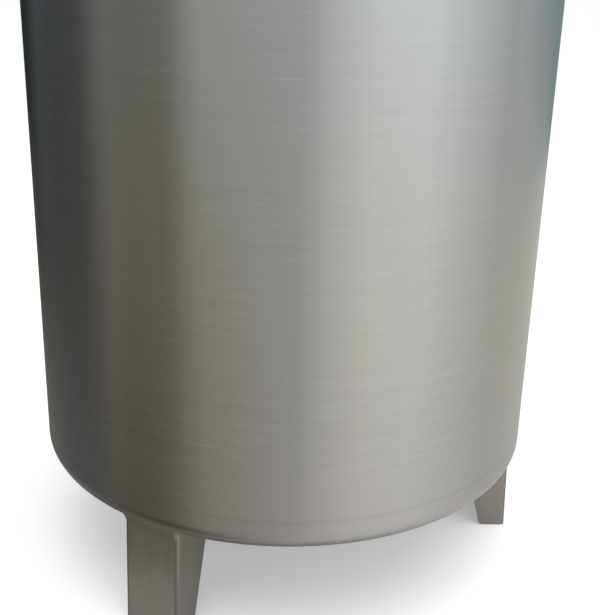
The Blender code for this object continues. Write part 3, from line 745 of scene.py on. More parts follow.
# %% Blend the legs into the head
WEB_BLEND = 0.021
SIDE_BLEND = 0.0045
BLEND_STEPS = 12
BLEND_SINK = 0.0002
BLEND_PULL = 0.6
BLEND_BACK = 0.0015
BLEND_SHARP = math.radians(60)
FARTHER_DOWN = 0.05


def belly_normal(place):
    """Outward direction of the bottom head at a point."""
    radius = math.hypot(place.x, place.y)
    lean = math.radians(BOTTOM_SLOPE)
    out = max(min((radius - KNUCKLE_CENTRE) / KNUCKLE, 0.9999), math.sin(lean))
    return Vector((place.x / radius * out, place.y / radius * out, -math.sqrt(1 - out**2)))


def along_belly(place, away, width):
    """The point that a walk over the bottom head reaches from a point, in a direction in the surface."""
    radius = math.hypot(place.x, place.y)
    outward = Vector((place.x / radius, place.y / radius, 0))
    round_head = Vector((-outward.y, outward.x, 0))
    lean = math.asin(min(max(radius - KNUCKLE_CENTRE, 0.0) / KNUCKLE, 1.0))
    if lean < math.radians(BOTTOM_SLOPE):
        far = place + away * width
        return Vector((far.x, far.y, belly(math.hypot(far.x, far.y))))
    uphill = outward * math.cos(lean) + Vector((0, 0, math.sin(lean)))
    lean += width * away.dot(uphill) / KNUCKLE
    radius = KNUCKLE_CENTRE + KNUCKLE * math.sin(lean)
    flat = (outward * radius + round_head * width * away.dot(round_head)).normalized() * radius
    return Vector((flat.x, flat.y, BOTTOM_WELD - FLANGE - KNUCKLE * math.cos(lean)))


def blend_row(spot, joint, along):
    """Closed row of points across the blend, where a leg meets the head. along is the joint's direction."""
    down = (leg_point(spot, joint.z - FARTHER_DOWN) - joint).normalized()
    outward = down.cross(along).normalized()
    on_web = spot[0] == 0 and abs(spot[2]) < LEG_HALF - LEG_BEND
    if outward.dot(Vector((1, 0, 0)) if on_web else Vector((0, spot[2], 0))) < 0:
        outward = -outward
    width = SIDE_BLEND + (WEB_BLEND - SIDE_BLEND) * max(0.0, outward.x) ** 2
    normal = belly_normal(joint)
    away = (outward - outward.dot(normal) * normal).normalized()
    far = along_belly(joint, away, width)
    normal = belly_normal(far)
    away = (outward - outward.dot(normal) * normal).normalized()
    low, high = joint + down * width - outward * BLEND_SINK, far - normal * BLEND_SINK
    pull = BLEND_PULL * width
    curve = [low, low - down * pull, high - away * pull, high]
    row = []
    for step in range(BLEND_STEPS + 1):
        t = step / BLEND_STEPS
        shares = ((1 - t) ** 3, 3 * t * (1 - t) ** 2, 3 * t * t * (1 - t), t**3)
        row.append(sum((share * point for share, point in zip(shares, curve)), Vector()))
    return [*row, joint - (outward + normal) * BLEND_BACK, row[0]]


def skin(rows, material, sharp_above=SHARP_ABOVE, capped=True):
    """Mesh over rows of points whose ends meet. capped closes the first row and the last."""
    bm = bmesh.new()
    made = grid_faces(bm, rows)
    for row in (made[0], made[-1]) if capped else ():
        bm.faces.new(row[:-1])
    return mesh_of(bm, material, sharp_above)


spots = leg_line(0.0)
joints = [leg_top(spot) for spot in spots]
neighbours = zip([joints[0], *joints], [*joints[1:], joints[-1]])
ways = [(after - before).normalized() for before, after in neighbours]
blend = [blend_row(*place) for place in zip(spots, joints, ways)]
for side, degrees in LEG_TURNS.items():
    mesh = placed(skin(blend, leg_steel, BLEND_SHARP), about_z(degrees))
    piece(f"leg_{side}_blend", mesh, slot="leg_steel")

# %% [markdown]
# ## Neck, flange, seal and lid of the manway
# The manway is how a person cleans the tank. A rolled neck carries a flat flange, a silicone ring lies on
# that, and a pressed lid covers both. All four are turned. What makes turned metal look real is that no
# edge is quite sharp: each corner of the section gets a small round, and the lid's dome meets its flat rim
# in a wide one.

# %% Turn the manway
NECK_TOP = 1.734613
NECK_LOW = roof(NECK) - 0.015
FLANGE_LOW = NECK_TOP - 0.006
FLANGE_RADIUS = 0.218
GASKET_RADIUS = 0.215
LID_LOW = 1.739213
RIM_TOP = 1.742213
LID_RADIUS = 0.222
LID_SKIRT = 0.014
DOME_RADIUS = 0.185
DOME_RISE = 0.030
LID_TOP = RIM_TOP + DOME_RISE
DOME_SPHERE = (DOME_RADIUS**2 + DOME_RISE**2) / (2 * DOME_RISE)
MANWAY_STEPS = 240


def ring(inner, outer, low, high, round_off, steps=MANWAY_STEPS, **settings):
    """Turned ring with a rectangular section."""
    return lathe([(outer, low), (outer, high), (inner, high), (inner, low)], steps, round_off, **settings)


def dome(offset, steps=20):
    """Section of the lid's dome from the axis outwards."""
    edge = math.degrees(math.asin(DOME_RADIUS / DOME_SPHERE))
    return arc((0, LID_TOP - DOME_SPHERE), DOME_SPHERE + offset, 90, 90 - edge, steps)


neck = ring(NECK - SHEET, NECK, NECK_LOW, NECK_TOP, round_off=0.0006)
piece("manway_neck_ring", neck, "manway_neck")
flange = ring(NECK - 0.0002, FLANGE_RADIUS, FLANGE_LOW, NECK_TOP, round_off=0.0012)
piece("manway_flange_ring", flange, "manway_flange")
gasket = ring(NECK - SHEET, GASKET_RADIUS, NECK_TOP, LID_LOW, round_off=0.0018, material=silicone)
piece("manway_gasket_ring", gasket, "manway_gasket", slot="gasket_rubber")

outer_dome, inner_dome = dome(0), dome(-SHEET)
brim = LID_RADIUS - SHEET
skirt_end = RIM_TOP - LID_SKIRT
lid = [*outer_dome[:-1], (*outer_dome[-1], 0.030), (LID_RADIUS, RIM_TOP, 0.004)]
lid += [(LID_RADIUS, skirt_end, 0.0012), (brim, skirt_end, 0.0012), (brim, LID_LOW, 0.002)]
lid += [(*inner_dome[-1], 0.020), *inner_dome[-2::-1]]
piece("manway_lid_pressing", lathe(lid, MANWAY_STEPS, fineness=6), "manway_lid")

# %% [markdown]
# ## Bars and plates from curves
# A bent bar is a line with a thickness, and a cut plate is an outline with a thickness. Blender's curves
# make both: a curve with a round bevel is a bar, and a flat closed curve that is filled and extruded is a
# plate, with its holes and with its edges broken, in one step.

# %% Bars and plates
PLATE_EASE = 0.0007


def curve(name, dimensions, lines, cyclic=True, **settings):
    """A curve through lines of points, with a thickness from its settings."""
    data = bpy.data.curves.new(name, "CURVE")
    data.dimensions = dimensions
    for setting, value in settings.items():
        setattr(data, setting, value)
    for points in lines:
        line = data.splines.new("POLY")
        line.points.add(len(points) - 1)
        for spot, point in zip(line.points, points):
            spot.co = (*point, *(0,) * (3 - len(point)), 1)
        line.use_cyclic_u = cyclic
    return data


def from_curve(data, material):
    """The tidied mesh of a curve."""
    obj = linked(bpy.data.objects.new("curve", data))
    graph = bpy.context.evaluated_depsgraph_get()
    mesh = bpy.data.meshes.new_from_object(obj.evaluated_get(graph))
    bpy.data.objects.remove(obj)
    mesh.materials.clear()
    mesh.materials.append(material)
    return tidied(mesh)


def bar(points, radius, material):
    """Round bar along a line of points."""
    settings = {"bevel_depth": radius, "bevel_resolution": 5, "use_fill_caps": True}
    return from_curve(curve("bar", "3D", [points], cyclic=False, **settings), material)


def plate(outlines, low, high, place=Matrix.Identity(4), material=plate_steel, ease=PLATE_EASE):
    """Plate between two heights. The first outline is its edge and the others are holes."""
    settings = {"fill_mode": "BOTH", "bevel_depth": ease, "bevel_resolution": 2, "offset": -ease}
    data = curve("plate", "2D", outlines, extrude=(high - low) / 2 - ease, **settings)
    mesh = from_curve(data, material)
    return placed(mesh, place @ shifted(0, 0, (low + high) / 2))


# ACROSS puts an outline in Y and Z with its thickness along X, and ALONG_Y lays a turned piece along Y
ACROSS = Matrix(((0, 0, 1, 0), (1, 0, 0, 0), (0, 1, 0, 0), (0, 0, 0, 1)))
ALONG_Y = Matrix(((0, 1, 0, 0), (0, 0, 1, 0), (1, 0, 0, 0), (0, 0, 0, 1)))
HALF_TURN = Matrix.Rotation(math.pi, 4, "Z")
print("the edges of a cut plate are eased by", PLATE_EASE * 1000, "mm")

# %% [markdown]
# ## The feet
# A plate inside the foot of each channel spreads the load. Its outline is the inner line of the leg's own
# section, a hair smaller, and ends where the round corners of the sides begin.

# %% Cut the foot plates
FOOT_PLATE = 0.008
FIT_GAP = 0.0006

inside_leg = [leg_point(spot, 0.0) for spot in leg_line(LEG_SHEET + FIT_GAP) if spot[0] == 0]
foot_end = leg_point((1.0, 0.0, 0.0), 0.0).x + CORNER
half = LEG_HALF - LEG_SHEET - FIT_GAP
foot_outline = [(foot_end, half), *[point.to_2d() for point in inside_leg], (foot_end, -half)]
for side, degrees in LEG_TURNS.items():
    mesh = plate([foot_outline], 0.0, FOOT_PLATE, about_z(degrees), leg_steel, ease=0.0006)
    piece(f"foot_plate_{side}_cut", mesh, f"foot_plate_{side}", slot="leg_steel")

# %% [markdown]
# ## The lid's handle
# A 12 mm bar is bent twice and welded to the dome, a little towards the latch so that the hand pulls
# against the hinge. Each foot goes just through the skin of the dome, where the weld covers it.

# %% Bend the handle
HANDLE_HALF = 0.065
HANDLE_PLACE = -0.070
HANDLE_BEND = 0.018
HANDLE_ROD = 0.006
HANDLE_RISE = 0.042
HANDLE_SINK = 0.009
handle_middle = LID_TOP + HANDLE_RISE - HANDLE_BEND
handle_foot = LID_TOP - HANDLE_SINK

handle_line = [(-HANDLE_HALF, handle_foot)]
handle_line += arc((HANDLE_BEND - HANDLE_HALF, handle_middle), HANDLE_BEND, 180, 90, 12)
handle_line += arc((HANDLE_HALF - HANDLE_BEND, handle_middle), HANDLE_BEND, 90, 0, 12)
handle_line += [(HANDLE_HALF, handle_foot)]
handle = bar([(x, HANDLE_PLACE, z) for x, z in handle_line], HANDLE_ROD, plate_steel)
piece("lid_handle_bar", handle, "lid_handle")

# %% [markdown]
# ## Hinge
# The hinge stands behind the manway: a fork welded to the neck, a pin, and a strap that lies on the lid's
# rim and has an eye round the pin. Fork and strap are cut plates, so they are outlines with a hole.

# %% Cut the hinge
SHELF = NECK_TOP - 0.008
STRAP = 0.005
STRAP_START = 0.187
STRAP_LOW = RIM_TOP + 0.0001
HINGE_PIN = (0.242, STRAP_LOW + STRAP / 2 + 0.0002)
HINGE_EAR = 0.010
HINGE_HALF = 0.0265
HINGE_SLOT = 0.0205
HINGE_ROOT = 0.215
PIN_HOLE = 0.0052
HINGE_FOOT = SHELF - 0.036
ROOT_SINK = 0.001
EAR_SINK = 0.002


def fork(ear, eye, root_out, foot, half, slot, turn=Matrix.Identity(4)):
    """A root plate against the neck and an ear at each side of the slot."""
    root = [(NECK - ROOT_SINK, foot), (root_out, foot), (root_out, SHELF), (NECK - ROOT_SINK, SHELF)]
    cuts = [([root], -half, half), ([ear, eye], -half, -slot), ([ear, eye], slot, half)]
    return joined([plate(*cut, turn @ ACROSS) for cut in cuts])


eye = round_outline(HINGE_PIN, PIN_HOLE)
ear_start = HINGE_ROOT - EAR_SINK
ear = [(ear_start, HINGE_FOOT), (HINGE_PIN[0] + HINGE_EAR, HINGE_PIN[1] - 0.030)]
ear += [*arc(HINGE_PIN, HINGE_EAR, 0, 180, 16), (HINGE_PIN[0] - HINGE_EAR, SHELF), (ear_start, SHELF)]
piece("hinge_fork", fork(ear, eye, HINGE_ROOT, HINGE_FOOT, HINGE_HALF, HINGE_SLOT), "hinge_bracket")

lift = math.degrees(math.asin(STRAP / 2 / HINGE_EAR))
strap = [(STRAP_START, HINGE_PIN[1] - STRAP / 2), *arc(HINGE_PIN, HINGE_EAR, lift - 180, 180 - lift, 28)]
strap += [(STRAP_START, HINGE_PIN[1] + STRAP / 2)]
strap_half = HINGE_SLOT - 0.0005
piece("hinge_strap_plate", plate([strap, eye], -strap_half, strap_half, ACROSS), "hinge_strap")

# %% Turn the pins
PIN_CHAMFER = 0.0008
PIN_STEPS = 48
LIE_ACROSS = Matrix.Rotation(math.pi / 2, 4, "Y")


def cross_pin(radius, half, place, turn=Matrix.Identity(4)):
    """Pin through a fork, with a chamfer at each end."""
    section = [(0, -half), (radius, -half, PIN_CHAMFER), (radius, half, PIN_CHAMFER), (0, half)]
    return lathe(section, PIN_STEPS, place=turn @ shifted(0, *place) @ LIE_ACROSS)


piece("hinge_pin_rod", cross_pin(radius=0.005, half=HINGE_HALF + 0.006, place=HINGE_PIN), "hinge_pin")

# %% [markdown]
# ## Latch
# In front, a swing bolt with a star knob holds the lid shut. Its bolt hinges in a small fork on the neck
# and swings up into the mouth of a plate on the lid. The thread is a real one here: a grid wrapped round
# the bolt whose radius rises and falls along a spiral, which a turned section can't do.

# %% Cut the latch
LATCH_OUT = 0.238
LATCH_PIN = (LATCH_OUT, SHELF - 0.018)
LATCH_HALF = 0.0125
LATCH_SLOT = 0.0065
LATCH_EAR = 0.011
LATCH_ROOT = 0.2145
LATCH_HOLE = 0.0042
LATCH_FOOT = LATCH_PIN[1] - 0.016
MOUTH = 0.0065
LUG_HALF = 0.018
LUG_END = LATCH_OUT + 0.014

ear_start = LATCH_ROOT - 0.0025
ear = [(ear_start, LATCH_FOOT), *arc(LATCH_PIN, LATCH_EAR, -90, 90, 16)]
ear += [(LATCH_ROOT, SHELF), (ear_start, SHELF)]
eye = round_outline(LATCH_PIN, LATCH_HOLE)
bracket = fork(ear, eye, LATCH_ROOT, LATCH_FOOT, LATCH_HALF, LATCH_SLOT, HALF_TURN)
piece("latch_fork", bracket, "latch_bracket")
latch_pin = cross_pin(radius=0.004, half=LATCH_HALF + 0.004, place=LATCH_PIN, turn=HALF_TURN)
piece("latch_pin_rod", latch_pin, "latch_pin")

mouth = [(LUG_HALF, STRAP_START), (LUG_HALF, LUG_END), (MOUTH, LUG_END)]
mouth += arc((0, LATCH_OUT), MOUTH, 0, -180, 16)
mouth += [(-MOUTH, LUG_END), (-LUG_HALF, LUG_END), (-LUG_HALF, STRAP_START)]
piece("latch_lug_plate", plate([mouth], STRAP_LOW, STRAP_LOW + STRAP, HALF_TURN), "latch_lug")

# %% Cut the thread and mould the knob
THREAD_PITCH = 0.00125
THREAD_DEPTH = 0.0007
ROWS_IN_A_PITCH = 8
WRAPPED_SHARP = math.radians(50)
BOLT_EYE = 0.010
BOLT_EYE_HALF = 0.006
KNOB_LOW = STRAP_LOW + STRAP + 0.0004
KNOB_HEIGHT = 0.026
KNOB_RADIUS = 0.021
KNOB_SWELL = 0.003
KNOB_ARMS = 5
# share of the knob's radius, share of its height, and how much the corner is rounded
KNOB_SIDE = [(0.62, 0.0), (0.72, 0.0, 0.06), (1.0, 0.22, 0.2)]
KNOB_SIDE += [(1.0, 0.85, 0.22), (0.72, 1.0, 0.2), (0.3, 0.97)]


def wrapped(radius_at, heights, steps, material):
    """Closed skin of points round Z, whose radius is a function of the row's height and the angle."""
    angles = [math.tau * (i % steps) / steps for i in range(steps + 1)]
    rows = []
    for z in heights:
        radii = [radius_at(z, a) for a in angles]
        rows.append([(r * math.cos(a), r * math.sin(a), z) for r, a in zip(radii, angles)])
    return skin(rows, material, WRAPPED_SHARP)


def thread(radius, low, high, steps=24):
    """Threaded rod between two heights."""
    rows = round((high - low) / THREAD_PITCH * ROWS_IN_A_PITCH)
    heights = [low + (high - low) * i / rows for i in range(rows + 1)]

    def radius_at(z, a):
        turn = (z / THREAD_PITCH - a / math.tau) % 1
        return radius - THREAD_DEPTH * abs(2 * turn - 1)

    return wrapped(radius_at, heights, steps, plate_steel)


rod = thread(radius=0.005, low=LATCH_PIN[1] + 0.008, high=KNOB_LOW + 0.017)
bolt = placed(rod, shifted(0, -LATCH_OUT, 0))
rings = [round_outline((0, 0), BOLT_EYE, 48), round_outline((0, 0), LATCH_HOLE)]
eye = plate(rings, -BOLT_EYE_HALF, BOLT_EYE_HALF, shifted(0, -LATCH_OUT, LATCH_PIN[1]) @ ACROSS)
piece("latch_swing_bolt", joined([bolt, eye]), "latch_bolt")

knob_side = softened(KNOB_SIDE, 0, looped=False, steps=5)
share_at = {KNOB_LOW + KNOB_HEIGHT * level: share for share, level in knob_side}


def knob_radius(z, a):
    """A star whose arms fade towards the middle of its top and bottom."""
    share = share_at[z]
    return share * (KNOB_RADIUS + KNOB_SWELL * math.cos(KNOB_ARMS * a) * min(1, share))


knob = wrapped(knob_radius, list(share_at), 120, phenolic)
piece("latch_star_knob", placed(knob, shifted(0, -LATCH_OUT, 0)), "latch_knob", slot="knob_plastic")

# %% [markdown]
# ## Lifting lugs
# Three lugs on the top head take the hooks of a crane, so they stand along the radius, the way the load
# pulls. Each is a 10 mm plate with a round top and an eye, and its foot is cut to the slope of the head.

# %% Cut the lifting lugs
LIFTING_TURNS = (60, 180, 300)
LIFTING_CIRCLE = 0.400
LIFTING_HALF = 0.030
LIFTING_THICKNESS = 0.010
LIFTING_RISE = 0.040
LIFTING_EYE = 0.015
LIFTING_EASE = 0.0012
LIFTING_SINK = 0.0015

centre = (LIFTING_CIRCLE, roof(LIFTING_CIRCLE) + LIFTING_RISE)
foot = [(r, roof(r) - LIFTING_SINK) for r in (LIFTING_CIRCLE - LIFTING_HALF, LIFTING_CIRCLE + LIFTING_HALF)]
outlines = [foot + arc(centre, LIFTING_HALF, 0, 180, 40), round_outline(centre, LIFTING_EYE, 48)]
half = LIFTING_THICKNESS / 2
for number, degrees in enumerate(LIFTING_TURNS, 1):
    lug = plate(outlines, -half, half, about_z(degrees - 90) @ ACROSS, ease=LIFTING_EASE)
    piece(f"lifting_lug_{number}_plate", lug, f"lifting_lug_{number}")

# %% [markdown]
# ## Ferrules, seals and caps
# Pipework on a tank like this ends in ferrules: a short tube with a rim whose back slopes. Two rims face
# each other with a seal between them, and a ring with a sloping groove pulls them together. The vent has a
# mushroom cowl on its ferrule and the inlet a blank cap. All of these are sections again.

# %% Turn the two nozzles
BORE = 0.0234
FERRULE = 0.032
RIM = 0.003
RIM_BACK = 0.0065
SEAL = 0.031
SEAL_HEIGHT = 0.0026
SEAL_ROUND = 0.0008
NOZZLE_CIRCLE = 0.340
NOZZLE_ANGLES = {"vent": 30, "inlet": 150}
FACE = roof(NOZZLE_CIRCLE) + 0.060
SEAT = FACE + SEAL_HEIGHT
TUBE_END = FACE - 0.080
FERRULE_STEPS = 96
COWL_RADIUS = 0.046
COWL_SHEET = 0.002
COWL_BRIM = SEAT + 0.0305
COWL_HEM = COWL_BRIM - 0.016
COWL_SPHERE = 0.078
COWL_CENTRE = (0, COWL_BRIM - 0.060)


def rim_section(face, sense):
    """Ferrule from its tube to its face. sense is 1 when the tube comes from below."""
    back = (TUBE, face - sense * RIM_BACK, 0.002)
    return [back, (FERRULE, face - sense * RIM, 0.0008), (FERRULE, face, 0.0005)]


def seal_ring(name, low, place):
    """The silicone ring between a ferrule and what is clamped to it."""
    sizes = (BORE, SEAL, low, low + SEAL_HEIGHT, SEAL_ROUND, FERRULE_STEPS)
    mesh = ring(*sizes, material=silicone, place=place)
    piece(f"{name}_seal_ring", mesh, f"{name}_seal", slot="gasket_rubber")


tube = [(TUBE, TUBE_END), *rim_section(FACE, 1), (BORE, FACE), (BORE, TUBE_END)]
blank = [(0, SEAT), *rim_section(SEAT, -1)[::-1], (BORE, SEAT + RIM_BACK, 0.002), (0, SEAT + RIM_BACK)]
crown = arc(COWL_CENTRE, COWL_SPHERE, 54, 90, 12)
cowl = [(0, SEAT), (BORE, SEAT, 0.0005), *rim_section(SEAT, -1)[::-1], (TUBE, COWL_BRIM, 0.003)]
cowl += [(COWL_RADIUS - COWL_SHEET, COWL_BRIM, 0.003), (COWL_RADIUS - COWL_SHEET, COWL_HEM, 0.0008)]
cowl += [(COWL_RADIUS, COWL_HEM, 0.0008), (*crown[0], 0.004), *crown[1:]]
caps = {"vent": (cowl, 5), "inlet": (blank, 4)}

nozzle_places = {}
for name, degrees in NOZZLE_ANGLES.items():
    nozzle_places[name] = place = about_z(degrees) @ shifted(NOZZLE_CIRCLE, 0, 0)
    mesh = lathe(tube, FERRULE_STEPS, round_off=0.0004, place=place)
    piece(f"{name}_nozzle_tube", mesh, f"{name}_nozzle")
    seal_ring(name, FACE, place)
    section, fineness = caps[name]
    cap = lathe(section, FERRULE_STEPS, fineness=fineness, place=place)
    piece(f"{name}_cap_turned", cap, f"{name}_cap")

# %% [markdown]
# ## The drain
# Under the middle of the bottom head a bent tube leads to the drain valve. A sweep carries a ring of points
# along a path with a radius for each station. The bore is the same path walked back with a smaller radius,
# so the wall is closed without any Boolean.

# %% Sweep the drain pipe
ELBOW = 0.064
OUTLET_HEIGHT = belly(TUBE) - 0.010 - ELBOW
OUTLET_REACH = 0.120
OUTLET_STRAIGHT = 0.05
DRAIN_STEPS = 64


def ring_of_points(centre, along, radius):
    """Points round a place on the path, across its direction."""
    side = Vector((1, 0, 0))
    other = along.cross(side)
    angles = [math.tau * i / DRAIN_STEPS for i in range(DRAIN_STEPS + 1)]
    return [centre + radius * (math.cos(a) * side + math.sin(a) * other) for a in angles]


path = [(Vector((0, 0, belly(TUBE) + SHEET)), Vector((0, 0, -1)))]
for drop, reach in arc((0, 0), 1, 0, 90, 24):
    spot = Vector((0, ELBOW * (1 - drop), OUTLET_HEIGHT + ELBOW * (1 - reach)))
    path.append((spot, Vector((0, reach, -drop)).normalized()))
rim = [(TUBE, OUTLET_REACH - OUTLET_STRAIGHT), *rim_section(OUTLET_REACH, 1), (BORE, OUTLET_REACH)]
rim = [(Vector((0, y, OUTLET_HEIGHT)), Vector((0, 1, 0)), r) for r, y in softened(rim, 0, looped=False)[1:]]
outer, inner = [[(spot, along, radius) for spot, along in path] for radius in (TUBE, BORE)]
stations = [*outer, *rim, *inner[::-1], outer[0]]
drain = skin([ring_of_points(*station) for station in stations], plate_steel, capped=False)
piece("outlet_pipe_bent", drain, "outlet_pipe")

# %% Turn the drain's seal and valve
SEAT_OUT = OUTLET_REACH + SEAL_HEIGHT
VALVE_LENGTH = 0.052
VALVE_END = SEAT_OUT + VALVE_LENGTH
VALVE_MIDDLE = SEAT_OUT + VALVE_LENGTH / 2
BARREL = 0.0375
SHOULDER = 0.012
BOSS = 0.011
BOSS_FOOT = BOSS + 0.002
BOSS_TOP = OUTLET_HEIGHT + 0.050
BOSS_RISE = BOSS_TOP - OUTLET_HEIGHT
BOSS_STEPS = 64
BARREL_STEPS = 128
DISC_HALF = 0.002
DISC_HUB = 0.010
DISC_EDGE = BORE - 0.0003


def mirrored(half, middle=0.0):
    """A section and its mirror image at the other side of the middle."""
    return half + [(r, 2 * middle - z, *own) for r, z, *own in reversed(half)]


on_drain = shifted(0, 0, OUTLET_HEIGHT) @ ALONG_Y
seal_ring("outlet", OUTLET_REACH, on_drain)

body = [*rim_section(SEAT_OUT, -1)[::-1], (TUBE, SEAT_OUT + SHOULDER, 0.002)]
body += [(BARREL, SEAT_OUT + SHOULDER, 0.0015), (BARREL, VALVE_MIDDLE - 0.0008, 0.0006)]
body += [(BARREL - 0.0012, VALVE_MIDDLE - 0.0003, 0.0002)]
body = [*mirrored(body, VALVE_MIDDLE), (BORE, VALVE_END), (BORE, SEAT_OUT)]
boss = [(0, BARREL - 0.004), (BOSS_FOOT, BARREL - 0.004, 0.001), (BOSS_FOOT, BARREL + 0.0015, 0.001)]
boss += [(BOSS, BARREL + 0.0025, 0.0015), (BOSS, BOSS_RISE, 0.0008), (0, BOSS_RISE)]
boss_place = shifted(0, VALVE_MIDDLE, OUTLET_HEIGHT)
barrel = lathe(body, BARREL_STEPS, round_off=0.0005, place=on_drain)
boss = lathe(boss, BOSS_STEPS, place=boss_place)
piece("valve_body_turned", joined([barrel, boss]), "valve_body")

disc = mirrored([(0, -DISC_HALF), (DISC_HUB, -DISC_HALF), (DISC_EDGE, -0.6 * DISC_HALF, 0.0006)])
piece("valve_disc_turned", lathe(disc, BOSS_STEPS, place=boss_place @ ALONG_Y), "valve_disc")

# %% Cut the lever and mould its grip
LEVER_LOW = BOSS_TOP + 0.0003
LEVER_HIGH = LEVER_LOW + 0.005
LEVER_HALF = 0.008
LEVER_END = 0.120
LEVER_HUB = 0.016
GRIP_START = 0.056
GRIP_LENGTH = 0.072
GRIP_HALF = 0.013
GRIP_COVER = 0.004
GRIP_EASE = 0.004
GRIP_RIBS = 6
RIB_DEPTH = 0.0006
GRIP_STEPS = (72, 48)

hub = arc((0, VALVE_MIDDLE), LEVER_HUB, 34, 326, 40)
hub[0], hub[-1] = (*hub[0], 0.010), (*hub[-1], 0.010)
arm = [(LEVER_END, VALVE_MIDDLE + side * LEVER_HALF, 0.004) for side in (-1, 1)]
piece("valve_lever_plate", plate([softened([*hub, *arm], 0)], LEVER_LOW, LEVER_HIGH), "valve_lever")


def grip_row(share):
    """Rounded cross-section of the grip at a share of its length, with shallow ribs for the fingers."""
    end = min(share, 1 - share) * GRIP_LENGTH
    shrink = GRIP_EASE - math.sqrt(max(0.0, GRIP_EASE**2 - max(0.0, GRIP_EASE - end) ** 2))
    rib = RIB_DEPTH * (1 - math.cos(math.tau * GRIP_RIBS * share))
    wide = GRIP_HALF - shrink - rib
    tall = (LEVER_HIGH - LEVER_LOW) / 2 + GRIP_COVER - 0.9 * shrink - 0.6 * rib
    middle = Vector((GRIP_START + share * GRIP_LENGTH, VALVE_MIDDLE, (LEVER_LOW + LEVER_HIGH) / 2))
    row = []
    for step in range(GRIP_STEPS[1] + 1):
        a = math.tau * (step % GRIP_STEPS[1]) / GRIP_STEPS[1]
        y, z = [math.copysign(abs(part) ** 0.5, part) for part in (math.cos(a), math.sin(a))]
        row.append(middle + Vector((0, y * wide, z * tall)))
    return row


grip = skin([grip_row(i / GRIP_STEPS[0]) for i in range(GRIP_STEPS[0] + 1)], vinyl, WRAPPED_SHARP)
piece("lever_grip_sleeve", grip, "lever_grip", slot="knob_plastic")

# %% [markdown]
# ## Clamps
# A clamp is a grooved ring in two halves that a swing bolt pulls shut. The ring is a section turned through
# 340 degrees, because the mouth stays open. The two ears, the bolt and its wing nut are the same for all
# three clamps, so they are made once.

# %% Turn the clamp rings
CLAMP = 0.0385
CLAMP_HALF = 0.0085
CLAMP_MOUTH = 20
# lays an outline in X and Z with its thickness along -Y
LAID_DOWN = Matrix(((1, 0, 0, 0), (0, 0, -1, 0), (0, 1, 0, 0), (0, 0, 0, 1)))

clamp = [(0.0325, 0.0047, 0.0008), (0.0285, 0.0072, 0.001), (0.0285, CLAMP_HALF, 0.0008)]
clamp += [(0.0365, CLAMP_HALF, 0.002), (CLAMP, CLAMP_HALF - 0.0022, 0.001), (CLAMP, 0.0045, 0.0008)]
clamp = mirrored([*clamp, (CLAMP - 0.0012, 0.003, 0.0008)])
middle = (FACE + SEAT) / 2
clamp_places = {name: place @ shifted(0, 0, middle) for name, place in nozzle_places.items()}
clamp_places["outlet"] = shifted(0, (OUTLET_REACH + SEAT_OUT) / 2, OUTLET_HEIGHT) @ LAID_DOWN
start, sweep = math.radians(CLAMP_MOUTH / 2), math.radians(360 - CLAMP_MOUTH)
for name, place in clamp_places.items():
    mesh = lathe(clamp, FERRULE_STEPS, round_off=0, start=start, sweep=sweep, place=place)
    piece(f"{name}_clamp_ring", mesh, f"{name}_clamp")

# %% Make one closing
EAR_OUT = 0.047
EAR_ROUND = 0.0072
EAR_ROOT = 0.0355
EAR_HOLE = 0.0032
EAR_NEAR = 0.0056
EAR_FAR = 0.0102
HEAD_END = 0.0145
NUT_START = 0.0103
NUT_END = 0.0185
NUT_STEPS = 32
WING_HALF = 0.0013
# outward, upward and the round of each corner
WING = ((0.0035, 0.0115), (0.0100, 0.0130, 0.002), (0.0160, 0.0200, 0.0025))
WING += ((0.0160, 0.0245, 0.0025), (0.0115, 0.0245, 0.0025), (0.0035, 0.0180))

ear = [(EAR_ROOT, -EAR_ROUND), *arc((EAR_OUT, 0), EAR_ROUND, -90, 90, 16), (EAR_ROOT, EAR_ROUND)]
ear = [ear, round_outline((EAR_OUT, 0), EAR_HOLE)]
ears = [plate(ear, *ends, LAID_DOWN) for ends in ((EAR_NEAR, EAR_FAR), (-EAR_FAR, -EAR_NEAR))]
bolt = thread(radius=0.003, low=-0.013, high=0.024, steps=16)
head = [(0, -HEAD_END), (0.0052, -HEAD_END, 0.0008), (0.0052, -EAR_FAR, 0.0004), (0, -EAR_FAR)]
nut = [(0, NUT_START), (0.0065, NUT_START, 0.0006), (0.0048, NUT_END, 0.0008), (0, NUT_END)]
head, nut = [lathe(section, NUT_STEPS) for section in (head, nut)]
wings = []
for side in (-1, 1):
    wing = softened([(side * x, y, *own) for x, y, *own in WING], 0)
    wings.append(plate([wing], -WING_HALF, WING_HALF, LAID_DOWN, ease=0.0006))
spindle = placed(joined([bolt, head, nut, *wings]), shifted(EAR_OUT, 0, 0) @ LAID_DOWN.inverted())
closing = joined([*ears, spindle])
print("one closing has", len(closing.polygons), "faces")

# %% [markdown]
# ## Setting out what repeats
# The closings and the valve's bolts repeat, so Geometry Nodes set them out. Each place is a point that
# carries its turn as an attribute. The tree puts one instance of an object on every point, turns it and
# makes it real.

# %% The tree that sets out copies
setting, inputs, close = geometry_tree("set_out_copies", (("Copy", "Object"), ("Material", "Material")))
copy = output(setting, "GeometryNodeObjectInfo", {"Object": inputs["Copy"]}, "Geometry")
turn = output(setting, "GeometryNodeInputNamedAttribute", {"Name": "turn"}, data_type="FLOAT_VECTOR")
turn = output(setting, "FunctionNodeEulerToRotation", {"Euler": turn})
points = output(setting, "GeometryNodeMeshToPoints", {"Mesh": inputs["Geometry"]})
sockets = {"Points": points, "Instance": copy, "Rotation": turn}
close(output(setting, "GeometryNodeInstanceOnPoints", sockets))


